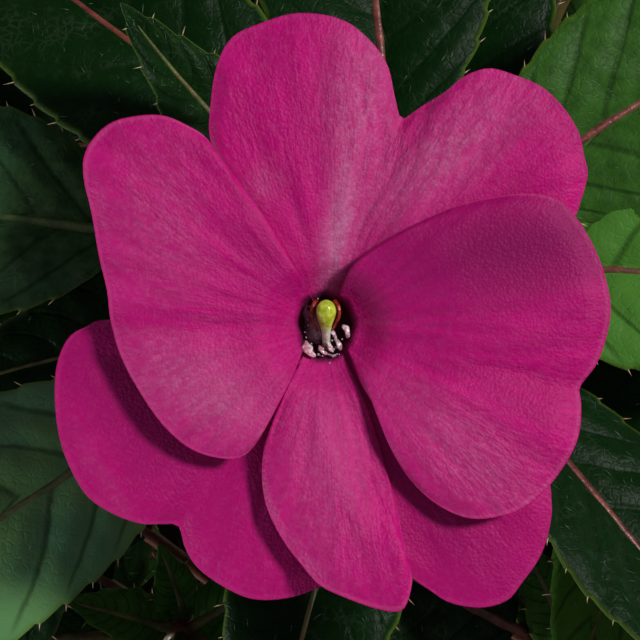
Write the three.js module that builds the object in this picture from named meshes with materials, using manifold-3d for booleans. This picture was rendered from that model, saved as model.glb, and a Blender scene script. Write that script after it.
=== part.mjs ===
import * as THREE from 'three';
import { mergeVertices } from 'three/addons/utils/BufferGeometryUtils.js';
import Module from 'manifold-3d';

const wasm = await Module();
wasm.setup();

// Driving sizes in millimetres, angles in degrees

const pot = {
  height: 105,
  rimRadius: 65,
  rimLipRadius: 62.9,
  collarFoot: 84,
  collarRadius: 63,
  bodyTopRadius: 60.3,
  baseRadius: 45,
  wall: 1.8,
  collarWall: 2.6,
  floor: 2,
  sides: 32,
  drains: 5,
  drainRing: 27,
  drainRadius: 4.5,
};

const soil = {
  top: 93,
  gap: 0.3,
  lump: 1.5,
  rings: [46, 30, 14],
};

const stem = {
  foot: 68,
  leaveSoil: 98,
  radius: 3.8,
  tipRadius: 2.1,
  holeGap: 0.6,
  sides: 6,
  steps: 6,
};

const outer = {
  count: 6,
  footRadius: 27,
  bowRadius: 31,
  bowHeight: 132,
  tipRadius: 51,
  tipHeight: 168,
};

const centre = {
  foot: [1.5, -1],
  bowHeight: 160,
  tip: [0, 0, 204],
};

const leafShape = {
  rise: 0.64,
  fall: 1.05,
  stalkHalf: 1.1,
  stalkThick: 1.9,
  bladeThick: 0.8,
  fold: 19,
  curl: 0.2,
  wave: 0.9,
  waves: 2.6,
  bladeSteps: 7,
  topBladeSteps: 8,
  tooth: 0.07,
};

const bloomShape = {
  baseRadius: 3.6,
  baseDepth: 2.6,
  petalThick: 0.7,
  cupTopRadius: 4.4,
  cupMouthRadius: 2.9,
  cupFloorRadius: 1.9,
  levelStep: 0.82,
  cupTop: 0.3,
  cupFloor: -3.1,
  cupEnd: -8,
  cupEndRadius: 1.5,
  spurRadius: 1.3,
  spurTipRadius: 0.6,
  reach: 36,
  underside: -2.5,
};

// The camera side of the main flower: its face leans this far from level, as in the photograph

const faceLean = 15;
const faceUp = new THREE.Vector3(0, Math.cos(radians(faceLean)), Math.sin(radians(faceLean)));
const faceOut = new THREE.Vector3(0, -Math.sin(radians(faceLean)), Math.cos(radians(faceLean)));
const mainFlowerOffset = { right: -9.8, up: -8.3, out: 32 };

// Petal outlines in the plane of the flower's face, x to the right and y up, from the flower's centre.
// lift is how high the petal stands over the lowest one, level its place in the stack at the throat

const petals = [
  {
    name: 'lowerLeft',
    lift: -0.6,
    level: 0,
    outline: [
      [-2.6, -0.6], [-14.9, -0.2], [-25.7, 1.0], [-28.7, 0.1], [-30.7, -1.1], [-32.0, -3.8], [-32.4, -7.4],
      [-32.0, -12.2], [-30.7, -16.4], [-28.5, -20.1], [-25.4, -22.2], [-22.1, -23.4], [-19.5, -23.5],
      [-17.6, -23.8], [-16.8, -26.3], [-15.3, -28.7], [-12.5, -30.8], [-9.0, -32.4], [-5.4, -32.5],
      [-2.0, -31.6], [0.4, -29.6], [0.6, -20], [-0.4, -2.7],
    ],
  },
  {
    name: 'lowerRight',
    lift: 0.4,
    level: 1,
    outline: [
      [0.2, -2.7], [3.2, -14], [6.6, -22], [8.8, -28.2], [10.8, -30.1], [12.5, -31.3], [14.9, -32.8],
      [18.5, -33.4], [21.7, -32.6], [23.5, -30.5], [25.8, -27.1], [26.9, -23.3], [27.0, -20.5],
      [26.2, -17.6], [20.9, -13.4], [11.3, -7.4], [2.3, -1.6],
    ],
  },
  {
    name: 'top',
    lift: 1.9,
    level: 1,
    outline: [
      [-1.0, 2.5], [-7.6, 12.4], [-12.2, 19.8], [-13.7, 22.8], [-13.6, 26.6], [-12.9, 31.0], [-11.1, 34.5],
      [-7.5, 36.3], [-3.2, 37.4], [1.8, 36.7], [5.1, 34.4], [7.4, 31.3], [8.4, 27.2], [9.2, 25.0],
      [11.3, 26.3], [14.3, 28.1], [16.7, 30.0], [19.5, 30.9], [22.3, 30.2], [25.7, 28.7], [28.3, 26.2],
      [30.1, 23.3], [30.8, 20.3], [31.2, 18.3], [30.5, 15.5], [29.3, 12.9], [24.5, 10.5], [14.9, 7.9],
      [6.6, 5.0], [1.6, 2.2],
    ],
  },
  {
    name: 'bottom',
    lift: 3.0,
    level: 2,
    outline: [
      [-1.9, -2.0], [-5.0, -8.6], [-7.0, -13.4], [-7.5, -17.6], [-6.8, -21.5], [-4.8, -25.4], [-2.4, -28.5],
      [-0.5, -30.5], [2.4, -31.9], [5.6, -33.1], [8.5, -33.6], [9.6, -32.8], [10.3, -29.9], [9.6, -27.1],
      [9.1, -24.5], [8.6, -21.6], [6.0, -12.5], [1.7, -2.2],
    ],
  },
  {
    name: 'left',
    lift: 3.6,
    level: 3,
    outline: [
      [-1.0, 2.5], [-7.5, 13.5], [-11.9, 19.5], [-14.2, 22.6], [-16.4, 24.0], [-19.1, 25.1], [-22.1, 25.1],
      [-25.1, 24.4], [-27.2, 22.7], [-28.5, 20.3], [-28.5, 17.4], [-27.7, 13.9], [-26.8, 8.7], [-25.8, 4.5],
      [-25.4, 1.0], [-24.2, -3.2], [-22.1, -7.2], [-19.1, -11.5], [-15.5, -14.5], [-11.1, -15.5],
      [-8.6, -14.2], [-6.0, -9.8], [-3.9, -5.6], [-2.3, -1.4],
    ],
  },
  {
    name: 'right',
    lift: 4.2,
    level: 3,
    outline: [
      [1.2, 2.4], [3.2, 7.2], [6.0, 9.6], [10.8, 12.4], [16.7, 14.8], [23.3, 15.9], [27.5, 15.2],
      [29.6, 13.1], [31.4, 10.2], [32.8, 6.9], [33.7, 2.8], [33.3, -0.8], [32.2, -4.1], [30.7, -6.2], [30.1, -7.2],
      [30.3, -9.2], [29.9, -12.8], [28.3, -16.1], [25.8, -19.3], [22.3, -21.7], [17.6, -22.5],
      [13.7, -21.1], [10.4, -18.3], [8.0, -14.6], [6.3, -10.0], [4.4, -6.6], [2.4, -1.4],
    ],
  },
];

// Other open flowers: place of the centre, lean from level and the way they lean, turn in their face, size

const sideFlowers = [
  { shoot: 1, place: [82, 26, 214], lean: 24, towards: 14, turn: 40, size: 0.96 },
  { shoot: 3, place: [-38, 84, 215], lean: 24, towards: 118, turn: 150, size: 0.92 },
  { shoot: 4, place: [-89, -24, 213], lean: 25, towards: 196, turn: 255, size: 1.0 },
  { shoot: 6, place: [42, -90, 212], lean: 26, towards: 292, turn: 330, size: 0.95 },
];

// Buds: place of the middle, the way the tip points, size

const buds = [
  { shoot: 2, place: [46, 70, 206], towards: 40, rise: 35, size: 1.0 },
  { shoot: 5, place: [-44, -74, 206], towards: 236, rise: 30, size: 1.1 },
  { shoot: 5, place: [2, -84, 202], towards: 280, rise: 20, size: 0.85 },
];

const bud = { length: 13, radius: 4.2, sides: 7, rings: 5, spur: 20, spurRadius: 0.9 };

// Whorls of the outer shoots: share of the stem, turns from the outward side, and the leaf's own sizes

const whorls = [
  { at: 0.42, turns: [-58, 3, 61], rise: 12, droop: 62, length: 76, width: 27, stalk: 17 },
  { at: 0.7, turns: [-88, -28, 33, 92], rise: 22, droop: 56, length: 74, width: 27, stalk: 16 },
  { at: 0.96, turns: [-118, -48, 16, 84], rise: 28, droop: 52, length: 64, width: 24, stalk: 13 },
];

// Leaves of the centre shoot: azimuth, rise, droop, blade, width, stalk, drop of the node, roll, bend aside

const lowerCentreLeaves = [
  [20, 26, 52, 70, 25, 16, 26, 0, 0],
  [76, 26, 52, 70, 25, 16, 26, 0, 0],
  [192, 22, 52, 70, 26, 18, 22, 0, 0],
  [262, 24, 52, 66, 24, 18, 24, 0, 0],
  [334, 24, 52, 66, 24, 16, 26, 0, 0],
];

const upperCentreLeaves = [
  [170.5, 9, 34, 78, 32, 38, 9, 0, 0],
  [212, 9, 34, 84, 30, 36, 7, 0, 0],
  [309, 18, 44, 74, 25, 20, 6, -30, 0],
  [94.5, 16, 42, 78, 33, 19, 5, 0, 0],
  [357, 18, 46, 72, 28, 13, 3, 0, 0],
  [140, 16, 42, 80, 30, 18, 2, 0, 0],
  [33, 18, 42, 78, 30, 17, 1, 10, 0],
  [153, 20, -18, 36, 13, 14.5, 0, 0, -8],
  [268, 30, 40, 26, 10, 5, 0, 0, 0],
];

// Space kept between leaves that pass over each other, and around stems

const settle = {
  cell: 3,
  half: 210,
  lowest: 30,
  skin: 0.6,
  gap: 1.7,
  freeStalk: 10,
  nearStem: 7,
  nearStalk: 4,
};

// Plain helpers

function radians(degrees) {
  return degrees * Math.PI / 180;
}

function clamp01(x) {
  return Math.min(Math.max(x, 0), 1);
}

function smooth(x) {
  const c = clamp01(x);
  return c * c * (3 - 2 * c);
}

function sway(n) {
  return Math.sin(7.13 * n + 1.7);
}

function heading(azimuth) {
  return new THREE.Vector3(Math.cos(radians(azimuth)), Math.sin(radians(azimuth)), 0);
}

function bezier(a, b, c, s) {
  const p = a.clone().multiplyScalar((1 - s) * (1 - s));
  p.addScaledVector(b, 2 * s * (1 - s));
  return p.addScaledVector(c, s * s);
}

// Closed geometry to a solid and back. Slivers smaller than mergeSize are taken out of what is joined

const mergeSize = 0.04;

function toSolid(geometry) {
  const g = geometry.clone();
  g.deleteAttribute('normal');
  g.deleteAttribute('uv');
  const merged = mergeVertices(g, 1e-4);
  const mesh = new wasm.Mesh({
    numProp: 3,
    vertProperties: new Float32Array(merged.attributes.position.array),
    triVerts: new Uint32Array(merged.index.array),
  });
  return new wasm.Manifold(mesh);
}

function toGeometry(solid) {
  const mesh = solid.getMesh();
  const geometry = new THREE.BufferGeometry();
  geometry.setAttribute('position', new THREE.BufferAttribute(new Float32Array(mesh.vertProperties), 3));
  geometry.setIndex(new THREE.BufferAttribute(new Uint32Array(mesh.triVerts), 1));
  return geometry;
}

function fuse(geometries) {
  let all = toSolid(geometries[0]);
  for (const geometry of geometries.slice(1)) {
    all = all.add(toSolid(geometry));
  }
  const bodies = all.simplify(mergeSize).decompose();
  return bodies.reduce((most, body) => (body.volume() > most.volume() ? body : most));
}

// A sheet with thickness over a grid of points: both faces are split along the same diagonals

function sheet(grid, thickAt) {
  const rows = grid.length;
  const columns = grid[0].length;
  const positions = [];
  for (const side of [0.5, -0.5]) {
    for (let i = 0; i < rows; i += 1) {
      for (let j = 0; j < columns; j += 1) {
        const along = grid[Math.min(i + 1, rows - 1)][j].clone().sub(grid[Math.max(i - 1, 0)][j]);
        const across = grid[i][Math.min(j + 1, columns - 1)].clone().sub(grid[i][Math.max(j - 1, 0)]);
        const normal = along.cross(across).normalize();
        const p = grid[i][j].clone().addScaledVector(normal, side * thickAt(i, j));
        positions.push(p.x, p.y, p.z);
      }
    }
  }
  const back = rows * columns;
  const index = [];
  const at = (i, j) => i * columns + j;
  for (let i = 0; i < rows - 1; i += 1) {
    for (let j = 0; j < columns - 1; j += 1) {
      const [a, b, c, d] = [at(i, j), at(i + 1, j), at(i + 1, j + 1), at(i, j + 1)];
      index.push(a, b, c, a, c, d);
      index.push(back + a, back + c, back + b, back + a, back + d, back + c);
    }
  }
  const border = [];
  for (let i = 0; i < rows - 1; i += 1) {
    border.push([at(i + 1, 0), at(i, 0)]);
    border.push([at(i, columns - 1), at(i + 1, columns - 1)]);
  }
  for (let j = 0; j < columns - 1; j += 1) {
    border.push([at(0, j), at(0, j + 1)]);
    border.push([at(rows - 1, j + 1), at(rows - 1, j)]);
  }
  for (const [a, b] of border) {
    index.push(a, b, back + b, a, back + b, back + a);
  }
  const geometry = new THREE.BufferGeometry();
  geometry.setAttribute('position', new THREE.BufferAttribute(new Float32Array(positions), 3));
  geometry.setIndex(index);
  return geometry;
}

// A round bar along a path of points, closed at both ends

function bar(path, radiusAt, sides) {
  const positions = [];
  const index = [];
  const last = path.length - 1;
  let side = new THREE.Vector3(1, 0, 0);
  path.forEach((point, i) => {
    const along = path[Math.min(i + 1, last)].clone().sub(path[Math.max(i - 1, 0)]).normalize();
    side = side.addScaledVector(along, -side.dot(along)).normalize();
    const other = along.clone().cross(side);
    for (let k = 0; k < sides; k += 1) {
      const turn = 2 * Math.PI * (k + 0.5) / sides;
      const p = point.clone();
      p.addScaledVector(side, radiusAt(i) * Math.cos(turn));
      p.addScaledVector(other, radiusAt(i) * Math.sin(turn));
      positions.push(p.x, p.y, p.z);
    }
  });
  const first = positions.length / 3;
  positions.push(path[0].x, path[0].y, path[0].z, path[last].x, path[last].y, path[last].z);
  for (let k = 0; k < sides; k += 1) {
    const next = (k + 1) % sides;
    for (let i = 0; i < last; i += 1) {
      const [a, b] = [i * sides + k, i * sides + next];
      index.push(a, b, b + sides, a, b + sides, a + sides);
    }
    index.push(first, next, k, first + 1, last * sides + k, last * sides + next);
  }
  const geometry = new THREE.BufferGeometry();
  geometry.setAttribute('position', new THREE.BufferAttribute(new Float32Array(positions), 3));
  geometry.setIndex(index);
  return geometry;
}

// Stems: straight through the soil, then bowed outwards to the tip

function stemPath(foot, bow, tip) {
  const start = new THREE.Vector3(foot[0], foot[1], stem.leaveSoil);
  return (s) => bezier(start, bow, tip, s);
}

const shoots = [];
shoots.push({
  name: 'shoot_centre',
  azimuth: 0,
  foot: centre.foot,
  tip: new THREE.Vector3(...centre.tip),
  path: stemPath(
    centre.foot,
    new THREE.Vector3(centre.foot[0], centre.foot[1], centre.bowHeight),
    new THREE.Vector3(...centre.tip),
  ),
});
for (let k = 0; k < outer.count; k += 1) {
  const azimuth = 360 / outer.count * k + 5 * sway(k);
  const out = heading(azimuth);
  const foot = [outer.footRadius * out.x, outer.footRadius * out.y];
  const tip = out.clone().multiplyScalar(outer.tipRadius + 3 * sway(k + 10));
  tip.z = outer.tipHeight + 5 * sway(k + 20);
  const bow = out.clone().multiplyScalar(outer.bowRadius);
  bow.z = outer.bowHeight;
  shoots.push({ name: `shoot_${k + 1}`, azimuth, foot, tip, path: stemPath(foot, bow, tip) });
}

// Leaf: a midrib that arches in a vertical plane, and a blade folded a little along it

function leafShare(x) {
  const { rise, fall } = leafShape;
  const peak = (rise / (rise + fall)) ** rise * (fall / (rise + fall)) ** fall;
  return clamp01(x) ** rise * (1 - clamp01(x)) ** fall / peak;
}

function leafPoint(leaf, s, t, tooth = 1) {
  const total = leaf.stalk + leaf.length;
  const first = radians(leaf.elevation);
  const second = radians(leaf.elevation - leaf.droop);
  const half = total / 2;
  const p1 = [half * Math.cos(first), half * Math.sin(first)];
  const p2 = [p1[0] + half * Math.cos(second), p1[1] + half * Math.sin(second)];
  const reach = 2 * s * (1 - s) * p1[0] + s * s * p2[0];
  const height = 2 * s * (1 - s) * p1[1] + s * s * p2[1];
  const out = heading(leaf.azimuth);
  const side = new THREE.Vector3(-out.y, out.x, 0);
  const along = out.clone().multiplyScalar((1 - s) * p1[0] + s * (p2[0] - p1[0]));
  along.z = (1 - s) * p1[1] + s * (p2[1] - p1[1]);
  along.addScaledVector(side, leaf.bend * s).normalize();
  side.addScaledVector(along, -side.dot(along)).normalize();
  const normal = along.clone().cross(side);
  const roll = radians(leaf.roll);
  const across = side.clone().multiplyScalar(Math.cos(roll)).addScaledVector(normal, Math.sin(roll));
  normal.multiplyScalar(Math.cos(roll)).addScaledVector(side, -Math.sin(roll));
  const x = (s * total - leaf.stalk) / leaf.length;
  const blade = leaf.width / 2 * leafShare(x);
  const w = blade * tooth + leafShape.stalkHalf * (1 - 0.8 * smooth(x));
  const fold = radians(leafShape.fold);
  const wave = leafShape.wave * Math.sin(2 * Math.PI * leafShape.waves * clamp01(x) + leaf.phase);
  const ripple = wave * t * t * Math.sign(t) * leafShare(x);
  const lift = w * (Math.abs(t) * Math.sin(fold) - leafShape.curl * t * t) + ripple;
  const p = leaf.base.clone().addScaledVector(out, reach);
  p.z += height;
  p.addScaledVector(new THREE.Vector3(-out.y, out.x, 0), leaf.bend * s * s);
  p.addScaledVector(across, t * w * Math.cos(fold));
  return p.addScaledVector(normal, lift);
}

function leafSolid(leaf) {
  const total = leaf.stalk + leaf.length;
  const grid = [];
  const steps = leaf.shoot === 0 ? leafShape.topBladeSteps : leafShape.bladeSteps;
  grid.push([-1, 0, 1].map((t) => leafPoint(leaf, 0, t)));
  for (let i = 0; i <= steps; i += 1) {
    const x = leaf.stalk + leaf.length * i / steps;
    const notch = i > 0 ? 1 + (i % 2 ? leafShape.tooth : -leafShape.tooth) : 1;
    grid.push([-1, 0, 1].map((t) => leafPoint(leaf, x / total, t, notch)));
  }
  return sheet(grid, (i) => (i < 2 ? leafShape.stalkThick : leafShape.bladeThick));
}

// Flowers: each petal is drawn from the throat out to its outline

function outlinePoint(outline, t) {
  const marks = [0];
  for (let i = 1; i < outline.length; i += 1) {
    const step = Math.hypot(outline[i][0] - outline[i - 1][0], outline[i][1] - outline[i - 1][1]);
    marks.push(marks[i - 1] + step);
  }
  const want = clamp01(t) * marks[marks.length - 1];
  let k = 1;
  while (k < marks.length - 1 && marks[k] < want) {
    k += 1;
  }
  const share = (want - marks[k - 1]) / (marks[k] - marks[k - 1]);
  return [0, 1].map((n) => outline[k - 1][n] + (outline[k][n] - outline[k - 1][n]) * share);
}

function petalHeight(petal, x, y) {
  const r = Math.hypot(x, y);
  const dip = -bloomShape.baseDepth * (1 - smooth((r - bloomShape.baseRadius) / 5));
  const stack = bloomShape.levelStep * petal.level * (1 - smooth(r / 14));
  let height = dip + stack + petal.lift * smooth(r / 17);
  if (petal.name === 'bottom') {
    const seam = smooth((x + 0.32 * y + 4.5) / 5) * (1 - smooth((-y - 19) / 8));
    height -= 1.6 * seam * smooth(r / 17);
  }
  return height;
}

function petalPoint(petal, u, t) {
  const ends = [petal.outline[0], petal.outline[petal.outline.length - 1]];
  const start = [0, 1].map((n) => ends[0][n] + (ends[1][n] - ends[0][n]) * t);
  const scale = bloomShape.baseRadius / Math.hypot(start[0], start[1]);
  const rim = outlinePoint(petal.outline, t);
  const x = start[0] * scale * (1 - u) + rim[0] * u;
  const y = start[1] * scale * (1 - u) + rim[1] * u;
  return new THREE.Vector3(x, y, petalHeight(petal, x, y));
}

function petalSolid(petal, rows, columns) {
  const grid = [];
  for (let i = 0; i <= rows; i += 1) {
    const line = [];
    for (let j = 0; j <= columns; j += 1) {
      line.push(petalPoint(petal, i / rows, j / columns));
    }
    grid.push(line);
  }
  return sheet(grid, () => bloomShape.petalThick);
}

function throatCup(sides) {
  const b = bloomShape;
  const profile = [
    [0, b.cupEnd],
    [b.cupEndRadius, b.cupEnd],
    [b.cupTopRadius, b.cupFloor],
    [b.cupTopRadius, b.cupTop],
    [b.cupMouthRadius, b.cupTop],
    [b.cupFloorRadius, b.cupFloor],
    [0, b.cupFloor],
  ];
  const geometry = new THREE.LatheGeometry(profile.map(([r, z]) => new THREE.Vector2(r, z)), sides);
  return geometry.rotateX(Math.PI / 2);
}

const spurPath = [
  [0, 0, -7],
  [0, -1.5, -11.5],
  [-0.5, -6, -14],
  [-1.5, -13, -15],
  [-2, -20, -14],
  [-1.5, -27, -11.5],
];

function flowerSolid(rows, share, sides) {
  const pieces = petals.map((petal) => petalSolid(petal, rows, Math.round(petal.outline.length * share)));
  pieces.push(throatCup(sides));
  const path = spurPath.map((p) => new THREE.Vector3(...p));
  const { spurRadius, spurTipRadius } = bloomShape;
  const radiusAt = (i) => spurRadius + (spurTipRadius - spurRadius) * i / (path.length - 1);
  pieces.push(bar(path, radiusAt, 5));
  return fuse(pieces);
}

const column = { radius: 1.15, length: 4.2, foot: 0.55, sides: 6 };

function columnGeometry() {
  const { radius, length, foot } = column;
  const z = bloomShape.cupFloor + 0.3;
  const profile = [
    [0, z],
    [foot, z],
    [foot + 0.1, z + 1.3],
    [radius * 0.9, z + 2.2],
    [radius, z + 2.9],
    [radius * 0.8, z + 3.7],
    [0, z + length],
  ];
  const geometry = new THREE.LatheGeometry(profile.map(([r, h]) => new THREE.Vector2(r, h)), column.sides);
  return geometry.rotateX(Math.PI / 2);
}

// Where a flower stands: its own x, y and outward directions in the world

function flowerFrame(flower) {
  const out = heading(flower.towards).multiplyScalar(Math.sin(radians(flower.lean)));
  out.z = Math.cos(radians(flower.lean));
  const up = new THREE.Vector3(0, 0, 1).addScaledVector(out, -out.z).normalize();
  const right = up.clone().cross(out);
  const turn = radians(flower.turn);
  const x = right.clone().multiplyScalar(Math.cos(turn)).addScaledVector(up, Math.sin(turn));
  const y = out.clone().cross(x);
  const frame = new THREE.Matrix4().makeBasis(x, y, out);
  frame.scale(new THREE.Vector3(flower.size, flower.size, flower.size));
  frame.setPosition(new THREE.Vector3(...flower.place));
  return frame;
}

const mainFrame = new THREE.Matrix4().makeBasis(new THREE.Vector3(1, 0, 0), faceUp, faceOut);
const mainPlace = new THREE.Vector3(...centre.tip);
mainPlace.x += mainFlowerOffset.right;
mainPlace.addScaledVector(faceUp, mainFlowerOffset.up).addScaledVector(faceOut, mainFlowerOffset.out);
mainFrame.setPosition(mainPlace);

const flowers = [{ name: 'main', shoot: 0, frame: mainFrame, size: 1 }];
sideFlowers.forEach((flower, k) => {
  flowers.push({ name: `${k + 1}`, shoot: flower.shoot, frame: flowerFrame(flower), size: flower.size });
});

// Flower stalks: from near the stem's tip to just behind the throat cup, beside the spur

const flowerStalk = {
  radius: 1.0,
  sides: 5,
  steps: 5,
  gap: 0.35,
  from: 0.97,
  sweep: 0.45,
  end: [0.9, 2.0, -9],
};

function stalkCurve(shoot, end, arrive) {
  const start = shoots[shoot].path(flowerStalk.from);
  const middle = end.clone().addScaledVector(arrive, -flowerStalk.sweep * end.distanceTo(start));
  return (s) => bezier(start, middle, end, s);
}

const stalks = [];
for (const flower of flowers) {
  const end = new THREE.Vector3(...flowerStalk.end).applyMatrix4(flower.frame);
  const out = new THREE.Vector3(0, 0, 1).transformDirection(flower.frame);
  stalks.push({ shoot: flower.shoot, curve: stalkCurve(flower.shoot, end, out) });
}
for (const one of buds) {
  const middle = new THREE.Vector3(...one.place);
  const point = heading(one.towards).multiplyScalar(Math.cos(radians(one.rise)));
  point.z = Math.sin(radians(one.rise));
  one.point = point;
  const reach = one.size * bud.length / 2 + flowerStalk.gap;
  const end = middle.clone().addScaledVector(point, -reach);
  stalks.push({ shoot: one.shoot, curve: stalkCurve(one.shoot, end, point) });
}

// Leaves settle from the lowest up: each takes the first place, near its own, that is clear of what
// lies below it, of the flowers above it and of the other stems

const size = 2 * settle.half / settle.cell;
const ground = new Float64Array(size * size).fill(settle.lowest);
const roof = new Float64Array(size * size).fill(1e6);

function cellOf(x, y) {
  const i = Math.floor((x + settle.half) / settle.cell);
  const j = Math.floor((y + settle.half) / settle.cell);
  return i * size + j;
}

for (let i = 0; i < size; i += 1) {
  for (let j = 0; j < size; j += 1) {
    const x = (i + 0.5) * settle.cell - settle.half;
    const y = (j + 0.5) * settle.cell - settle.half;
    if (Math.hypot(x, y) < pot.rimRadius + settle.cell) {
      ground[i * size + j] = pot.height + 1;
    }
  }
}

for (const flower of flowers) {
  for (let r = 0; r <= bloomShape.reach; r += 2) {
    for (let turn = 0; turn < 360; turn += 4) {
      const p = heading(turn).multiplyScalar(r);
      p.z = bloomShape.underside;
      p.applyMatrix4(flower.frame);
      const cell = cellOf(p.x, p.y);
      roof[cell] = Math.min(roof[cell], p.z);
    }
  }
}

const poles = [];
shoots.forEach((shoot, k) => {
  for (let n = 0; n <= 24; n += 1) {
    poles.push({ shoot: k, own: true, near: settle.nearStem, point: shoot.path(n / 24) });
  }
  for (let n = 1; n <= 4; n += 1) {
    const point = shoot.path(1);
    point.z += 4 * n;
    poles.push({ shoot: k, own: true, near: settle.nearStem, point });
  }
});
for (const { shoot, curve } of stalks) {
  for (let n = 2; n <= 16; n += 1) {
    poles.push({ shoot, own: false, near: settle.nearStalk, point: curve(n / 16) });
  }
}
for (const flower of flowers) {
  for (const p of spurPath) {
    const point = new THREE.Vector3(...p).applyMatrix4(flower.frame);
    poles.push({ shoot: flower.shoot, own: false, near: settle.nearStalk, point });
  }
}

function leafSamples(leaf) {
  const samples = [];
  const total = leaf.stalk + leaf.length;
  for (let i = 1; i <= 36; i += 1) {
    if (total * i / 36 < settle.freeStalk) {
      continue;
    }
    for (let j = -5; j <= 5; j += 1) {
      samples.push(leafPoint(leaf, i / 36, j / 5));
    }
  }
  return samples;
}

function isClear(leaf, samples) {
  for (const p of samples) {
    const cell = cellOf(p.x, p.y);
    if (p.z - settle.skin < ground[cell] + settle.gap) {
      return false;
    }
    if (p.z + settle.skin > roof[cell] - settle.gap) {
      return false;
    }
  }
  for (const pole of poles) {
    if (pole.own && pole.shoot === leaf.shoot) {
      continue;
    }
    for (const p of samples) {
      if (p.distanceToSquared(pole.point) < pole.near * pole.near) {
        return false;
      }
    }
  }
  return true;
}

const tries = [];
for (const turn of [0, 7, -7, 14, -14, 21, -21, 28, -28]) {
  for (const tilt of [0, 4, 8, 12, 16, 20, 24, 28, -5, -10, -15, -20]) {
    for (const scale of [1, 0.84, 0.7]) {
      const cost = Math.abs(turn) * 0.6 + (tilt < 0 ? -2 * tilt : tilt) + (1 - scale) * 90;
      tries.push({ turn, tilt, scale, cost });
    }
  }
}
tries.sort((a, b) => a.cost - b.cost);

function settled(leaf) {
  for (const { turn, tilt, scale } of tries) {
    const trial = {
      ...leaf,
      azimuth: leaf.azimuth + turn,
      elevation: leaf.elevation + tilt,
      length: leaf.length * scale,
      width: leaf.width * scale,
      stalk: leaf.stalk * scale,
    };
    const samples = leafSamples(trial);
    if (isClear(trial, samples)) {
      for (const p of samples) {
        const cell = cellOf(p.x, p.y);
        ground[cell] = Math.max(ground[cell], p.z + settle.skin);
      }
      return trial;
    }
  }
  return null;
}

const wanted = [];
for (let k = 1; k < shoots.length; k += 1) {
  whorls.forEach((whorl, n) => {
    whorl.turns.forEach((turn, m) => {
      const id = 20 * k + 6 * n + m;
      wanted.push({
        shoot: k,
        base: shoots[k].path(whorl.at),
        azimuth: shoots[k].azimuth + turn + 6 * sway(id),
        elevation: whorl.rise + 4 * sway(id + 0.5),
        droop: whorl.droop + 5 * sway(id + 0.3),
        length: whorl.length * (1 + 0.08 * sway(id + 0.7)),
        width: whorl.width * (1 + 0.06 * sway(id + 0.1)),
        stalk: whorl.stalk,
        roll: 7 * sway(id + 0.9),
        bend: 4 * sway(id + 0.6),
        phase: 3 * sway(id + 0.2),
      });
    });
  });
}
function centreLeaf(row, n) {
  const [azimuth, elevation, droop, length, width, stalk, drop, roll, bend] = row;
  const base = new THREE.Vector3(...centre.tip);
  base.z -= drop;
  const phase = 3 * sway(n + 400);
  return { shoot: 0, base, azimuth, elevation, droop, length, width, stalk, roll, bend, phase };
}

const leaves = [];
upperCentreLeaves.forEach((row, n) => {
  const leaf = centreLeaf(row, n);
  for (const p of leafSamples(leaf)) {
    const cell = cellOf(p.x, p.y);
    roof[cell] = Math.min(roof[cell], p.z - settle.skin);
  }
  leaves.push(leaf);
});
lowerCentreLeaves.forEach((row, n) => {
  wanted.push(centreLeaf(row, n + 20));
});
wanted.sort((a, b) => a.base.z - b.base.z);
for (const leaf of wanted) {
  const placed = settled(leaf);
  if (placed) {
    leaves.push(placed);
  }
}

// Pot and soil

function turned(profile) {
  const points = profile.map(([r, z]) => new THREE.Vector2(r, z));
  return new THREE.LatheGeometry(points, pot.sides).rotateX(Math.PI / 2);
}

function potSolid() {
  const innerTop = pot.bodyTopRadius - pot.wall;
  const profile = [
    [0, 0],
    [pot.baseRadius, 0],
    [pot.bodyTopRadius, pot.collarFoot],
    [pot.collarRadius, pot.collarFoot],
    [pot.rimRadius, pot.height - 0.8],
    [pot.rimRadius - 0.8, pot.height],
    [pot.rimLipRadius, pot.height],
    [pot.collarRadius - pot.collarWall, pot.collarFoot + 2],
    [innerTop, pot.collarFoot],
    [pot.baseRadius - pot.wall, pot.floor],
    [0, pot.floor],
  ];
  let solid = toSolid(turned(profile));
  for (let k = 0; k < pot.drains; k += 1) {
    const turn = 2 * Math.PI * (k + 0.5) / pot.drains;
    const hole = new THREE.CylinderGeometry(pot.drainRadius, pot.drainRadius, 4 * pot.floor, 10);
    hole.rotateX(Math.PI / 2);
    hole.translate(pot.drainRing * Math.cos(turn), pot.drainRing * Math.sin(turn), pot.floor / 2);
    solid = solid.subtract(toSolid(hole));
  }
  return solid;
}

function soilLump(x, y) {
  const fade = 1 - smooth((Math.hypot(x, y) - 40) / 18);
  const lumps = Math.sin(x / 7.3 + 0.4) * Math.cos(y / 6.1) + 0.5 * Math.sin((x + y) / 3.9);
  return soil.lump * fade * lumps;
}

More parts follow.
